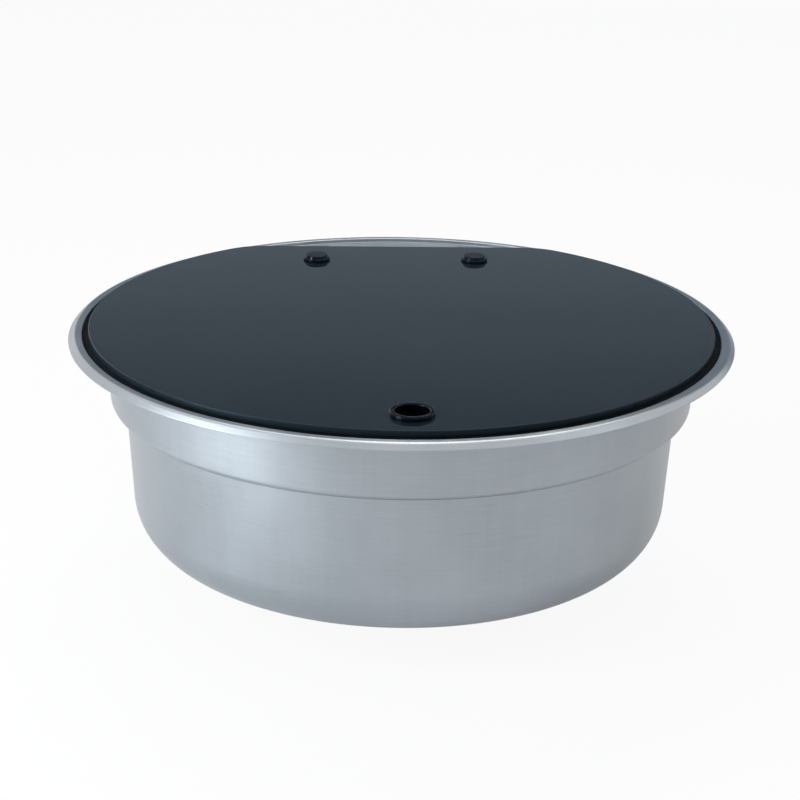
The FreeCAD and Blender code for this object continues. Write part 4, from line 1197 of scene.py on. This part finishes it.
def swivelSpout():
    s = spout
    centre, _, _, _ = nodeSpan("tap_body")
    outer = s["bore"] + s["collarWall"]
    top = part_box("spout")[1].z / mm
    bottom = top - s["collarHeight"]
    collar = turned("spoutArm", stepped(
        bottom,
        (outer, top, s["collarRound"], s["collarRound"]),
        (s["bore"], bottom, "soft", "soft"),
    ), centre, s["collarSides"])
    level = (top + bottom) / 2
    row = centre[1] / mm
    tip = row - s["reach"]
    path = [(row - s["bore"] - s["tubeInset"], level)]
    for inset, rise in quarterRound(s["bend"], s["bendSteps"])[::-1]:
        path.append((tip + inset, level - s["bend"] + rise))
    path.append((tip, level - s["bend"] - s["drop"]))
    tube = outlineObject("spoutTube", [(0, y * mm, z * mm) for y, z in path], False)
    grow(tube, tubeAlong, "spout", Radius=s["tube"] * mm, Sides=s["tubeSides"])
    wall = tube.modifiers.new("tubeWall", "SOLIDIFY")
    wall.thickness = s["tubeWall"] * mm
    wall.offset = -1
    combine(collar, turnOut(settle(tube)), "UNION")
    seam = []
    for k in range(s["beadSteps"]):
        angle = 2 * pi * k / s["beadSteps"]
        x, z = s["tube"] * cos(angle), s["tube"] * sin(angle)
        seam.append((x * mm, (row - sqrt(outer ** 2 - x ** 2)) * mm, (level + z) * mm))
    bead = outlineObject("spoutBead", seam, True)
    grow(bead, tubeAlong, "spout", Radius=s["bead"] * mm, Sides=s["beadSides"])
    combine(collar, bead, "UNION")
    handOver(turnOut(collar), "spout")


def spoutAerator():
    a = aerator
    _, radius, bottom, top = nodeSpan("spout_aerator")
    turnAndFit(
        "spout_aerator",
        (radius, bottom + a["lip"], "soft", "fine"),
        (a["insert"], top, "root", "fine"),
        (a["bore"], bottom, "fine", "soft"),
        sides=a["sides"],
    )


swivelSpout()
spoutAerator()
print("spout on")


# quarter-turn handle

tapHandle = {
    "hub": 14, "hubRound": 1.5,
    "reach": 40, "root": 8, "tip": 5, "leverHeight": 5, "endRound": 4.5, "topRound": 0.9,
    "footRound": 0.4, "neckRound": 0.9,
    "flow": 1,                              # how softly the lever runs into the hub
    "spindle": 3.05, "spindleDepth": 5, "web": 1, "screwHole": 1.8, "well": 3.8,
    "around": 512, "roundSteps": 5,
}
handleScrew = {"shank": 1.55, "headHeight": 2, "headRound": 0.8, "sides": 64}


def leverEdge(angle):
    # how far the lever's outline lies from the hub's axis
    t = tapHandle
    c, s = cos(angle), abs(sin(angle))
    if c <= 0:
        return 0
    taper = (t["root"] - t["tip"]) / t["reach"]
    reach = min(t["reach"] / c, t["root"] / (s + taper * c))
    x = t["reach"] - t["endRound"]
    y = t["root"] - taper * x - t["endRound"] * sqrt(1 + taper ** 2)
    if reach * c > x and reach * s > y:
        reach = reachOfArc(x, y, t["endRound"], c, s)
    return reach


def quarterTurnHandle():
    t = tapHandle
    centre, _, _, _ = nodeSpan("tap_body")
    low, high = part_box("tap_handle")
    bottom, top = low.z / mm, high.z / mm
    angles = [2 * pi * k / t["around"] for k in range(t["around"])]
    levers = [leverEdge(angle) for angle in angles]

    def arc(size):
        return quarterRound(size, t["roundSteps"])

    def plan(reaches, z):
        return [Vector((centre[0] + r * mm * cos(a), centre[1] + r * mm * sin(a), z * mm))
                for r, a in zip(reaches, angles)]

    def level(radius, z):
        return plan([radius] * len(angles), z)

    def either(hub, lever):
        # the longer of the two, softened where they meet
        return (hub + lever + sqrt((hub - lever) ** 2 + t["flow"] ** 2)) / 2

    hub, shelf = t["hub"], bottom + t["leverHeight"]
    rings = []
    for inset, rise in arc(t["footRound"])[::-1]:
        rings.append(plan([either(hub - inset, lever - inset) for lever in levers],
                          bottom + t["footRound"] - rise))
    for inset, rise in arc(t["topRound"]):
        rings.append(plan([either(hub, lever - inset) for lever in levers], shelf - t["topRound"] + rise))
    for inset, rise in arc(t["neckRound"]):
        flare = hub + t["neckRound"] - rise
        rings.append(plan([max(hub, min(flare, lever - t["topRound"])) for lever in levers], shelf + inset))
    for inset, rise in arc(t["hubRound"]):
        rings.append(level(hub - inset, top - t["hubRound"] + rise))
    spindleTop = bottom + t["spindleDepth"]
    wellFloor = spindleTop + t["web"]
    rings += [
        level(t["well"], top),
        level(t["well"], wellFloor),
        level(t["screwHole"], wellFloor),
        level(t["screwHole"], spindleTop),
        level(t["spindle"], spindleTop),
        level(t["spindle"], bottom),
    ]
    handOver(skinRings("tapHandle", rings, True), "tap_handle")


def handleFixing():
    h = handleScrew
    _, radius, _, top = nodeSpan("handle_screw")
    turnAndFit(
        "handle_screw",
        (h["shank"], top - h["headHeight"], "edge", "root"),
        (radius, top, "fine", h["headRound"]),
        sides=h["sides"],
    )
    _, radius, _, top = nodeSpan("handle_plug")
    turnAndFit("handle_plug", (radius, top, "root", "soft"), sides=h["sides"])


quarterTurnHandle()
handleFixing()
print("handle on")


# studio

studio = {
    "floorColour": (0.82, 0.82, 0.82),
    "floorSize": 12,
    "floorDrop": 0.0005,
    "whiteShare": 0.92,
    "mirroredShare": 0.20,
    "world": 0.56,
    # the grey card's painted shade: its tone goes from cardLow at the bottom to cardHigh at the top, between
    # the heights in cardFade
    "cardLow": (0.46, 0.54, 0.63),
    "cardHigh": (0.195, 0.245, 0.30),
    "cardFade": (0.6, 1.05),
    "cardAcross": (-0.8, 2.4),
    "cardRow": 2.4,
    "cardUp": (-0.1, 2.2),
}
lamps = {
    "upperMiddleLamp": {"place": (0.03, 0.80, 1.5), "aim": (0.02, -0.2, 0), "power": 3.8,
                        "size": (0.32, 0.9), "colour": (1.0, 1.0, 1.0)},
    "upperLeftLamp": {"place": (-0.45, 0.95, 1.5), "aim": (-0.1, -0.1, 0), "power": 1.7,
                      "size": (0.3, 0.9), "colour": (1.0, 1.0, 1.0)},
    "upperRightLamp": {"place": (0.47, 1.0, 1.5), "aim": (0.1, -0.1, 0), "power": 3.6,
                       "size": (0.40, 0.9), "colour": (1.0, 0.97, 0.85)},
    "leftLamp": {"place": (-1.1, -0.5, 0.62), "aim": (-0.36, -0.27, -0.17), "power": 4.8,
                 "size": (1.1, 1.0), "colour": (0.90, 0.96, 1.0)},
    "leftLowLamp": {"place": (-1.0, -0.5, 0.20), "aim": (-0.32, -0.26, -0.17), "power": 6.4,
                    "size": (0.55, 0.40), "colour": (0.88, 0.95, 1.0)},
    "leftSmallLamp": {"place": (-1.1, -0.5, 0.62), "aim": (-0.1, -0.2, 0), "power": 2.2,
                      "size": (0.12, 0.12), "colour": (0.92, 0.97, 1.0)},
    "rightLamp": {"place": (1.8, -0.7, 0.9), "aim": (0, 0, -0.06), "power": 2,
                  "size": (0.8, 1.2), "colour": (0.80, 0.95, 1.0)},
}
cameraSpot = {
    "place": (-0.0471, -1.2190, 0.4016),
    "aim": (-0.0003, 0, -0.0477),
    "roll": 1.023,
    "lens": 90.60,
    "sensor": 36,
}


def seenRays(tree):
    # rays straight from the camera, and rays by way of metal or glass
    path = tree.nodes.new("ShaderNodeLightPath").outputs
    return path["Is Camera Ray"], calc(tree, "MAXIMUM", path["Is Glossy Ray"], path["Is Transmission Ray"])


def whiteSurroundings():
    # white where it is seen, directly or in metal and glass, and the plain level for light
    world = bpy.data.worlds.new("studioWorld")
    scene.world = world
    world.use_nodes = True
    tree = world.node_tree
    seen = calc(tree, "MAXIMUM", *seenRays(tree))
    feed(tree, tree.nodes["Background"], {
        "Color": (1, 1, 1, 1),
        "Strength": spread(tree, seen, studio["world"], 1, 0, 1),
    })


def stagePlane(name, corners, material):
    mesh = bpy.data.meshes.new(name)
    mesh.from_pydata(corners, [], [(0, 1, 2, 3)])
    mesh.materials.append(material)
    plane = looseObject(name, mesh)
    return plane


def paleFloor():
    material, tree, shader = startFinish("paleFloor")
    tree.nodes.remove(shader)
    matt = outputOf(tree, "ShaderNodeBsdfDiffuse", {"Color": (*studio["floorColour"], 1)})
    white = outputOf(tree, "ShaderNodeEmission")
    direct, mirrored = seenRays(tree)
    share = calc(tree, "MAXIMUM", calc(tree, "MULTIPLY", direct, studio["whiteShare"]),
                 calc(tree, "MULTIPLY", mirrored, studio["mirroredShare"]))
    mixed = outputOf(tree, "ShaderNodeMixShader", {0: share, 1: matt, 2: white})
    feed(tree, tree.nodes["Material Output"], {"Surface": mixed})
    half, level = studio["floorSize"] / 2, cadBox[0].z - studio["floorDrop"]
    plan = [(-half, -half), (half, -half), (half, half), (-half, half)]
    stagePlane("floor", [(x, y, level) for x, y in plan], material)


def greyCard():
    # stands behind the sink, out of the picture, and is what the glass mirrors; its tone is painted shade,
    # pale at the bottom and darker towards the top, which the glass mirrors as its tone gradient
    material, tree, shader = startFinish("greyCard")
    place = outputOf(tree, "ShaderNodeTexCoord", socket="Object")
    height = outputOf(tree, "ShaderNodeSeparateXYZ", {"Vector": place}, "Z")
    # painted shade: the card is coloured darker with height, standing in for light falling off, and is not
    # lit that way
    paintedShade = spread(tree, height, 0, 1, *studio["cardFade"])
    feed(tree, shader, {
        "Base Color": blend(tree, paintedShade, studio["cardLow"], studio["cardHigh"]),
        "Roughness": 1,
    })
    left, right = studio["cardAcross"]
    bottom, top = studio["cardUp"]
    face = [(left, bottom), (right, bottom), (right, top), (left, top)]
    card = stagePlane("greyCard", [(x, studio["cardRow"], z) for x, z in face], material)
    card.visible_camera = False


def aimed(name, data, place, aim, roll=0):
    # a lamp or the camera at its place, turned to its aim
    holder = looseObject(name, data)
    holder.location = place
    look = (Vector(aim) - Vector(place)).to_track_quat("-Z", "Y").to_matrix()
    holder.rotation_euler = (look @ Matrix.Rotation(radians(roll), 3, "Z")).to_euler()
    return holder


def softLamp(name, place, aim, power, size, colour):
    lamp = bpy.data.lights.new(name, "AREA")
    lamp.shape = "RECTANGLE"
    lamp.size, lamp.size_y = size
    lamp.energy = power
    lamp.color = colour
    aimed(name, lamp, place, aim).visible_camera = False


def photoCamera(place, aim, roll, lens, sensor):
    camera = bpy.data.cameras.new("photoCamera")
    camera.sensor_width = sensor
    camera.lens = lens
    scene.camera = aimed("photoCamera", camera, place, aim, roll)


scene.view_settings.view_transform = "Standard"
whiteSurroundings()
paleFloor()
greyCard()
for name, lamp in lamps.items():
    softLamp(name, **lamp)
photoCamera(**cameraSpot)
print("studio set")
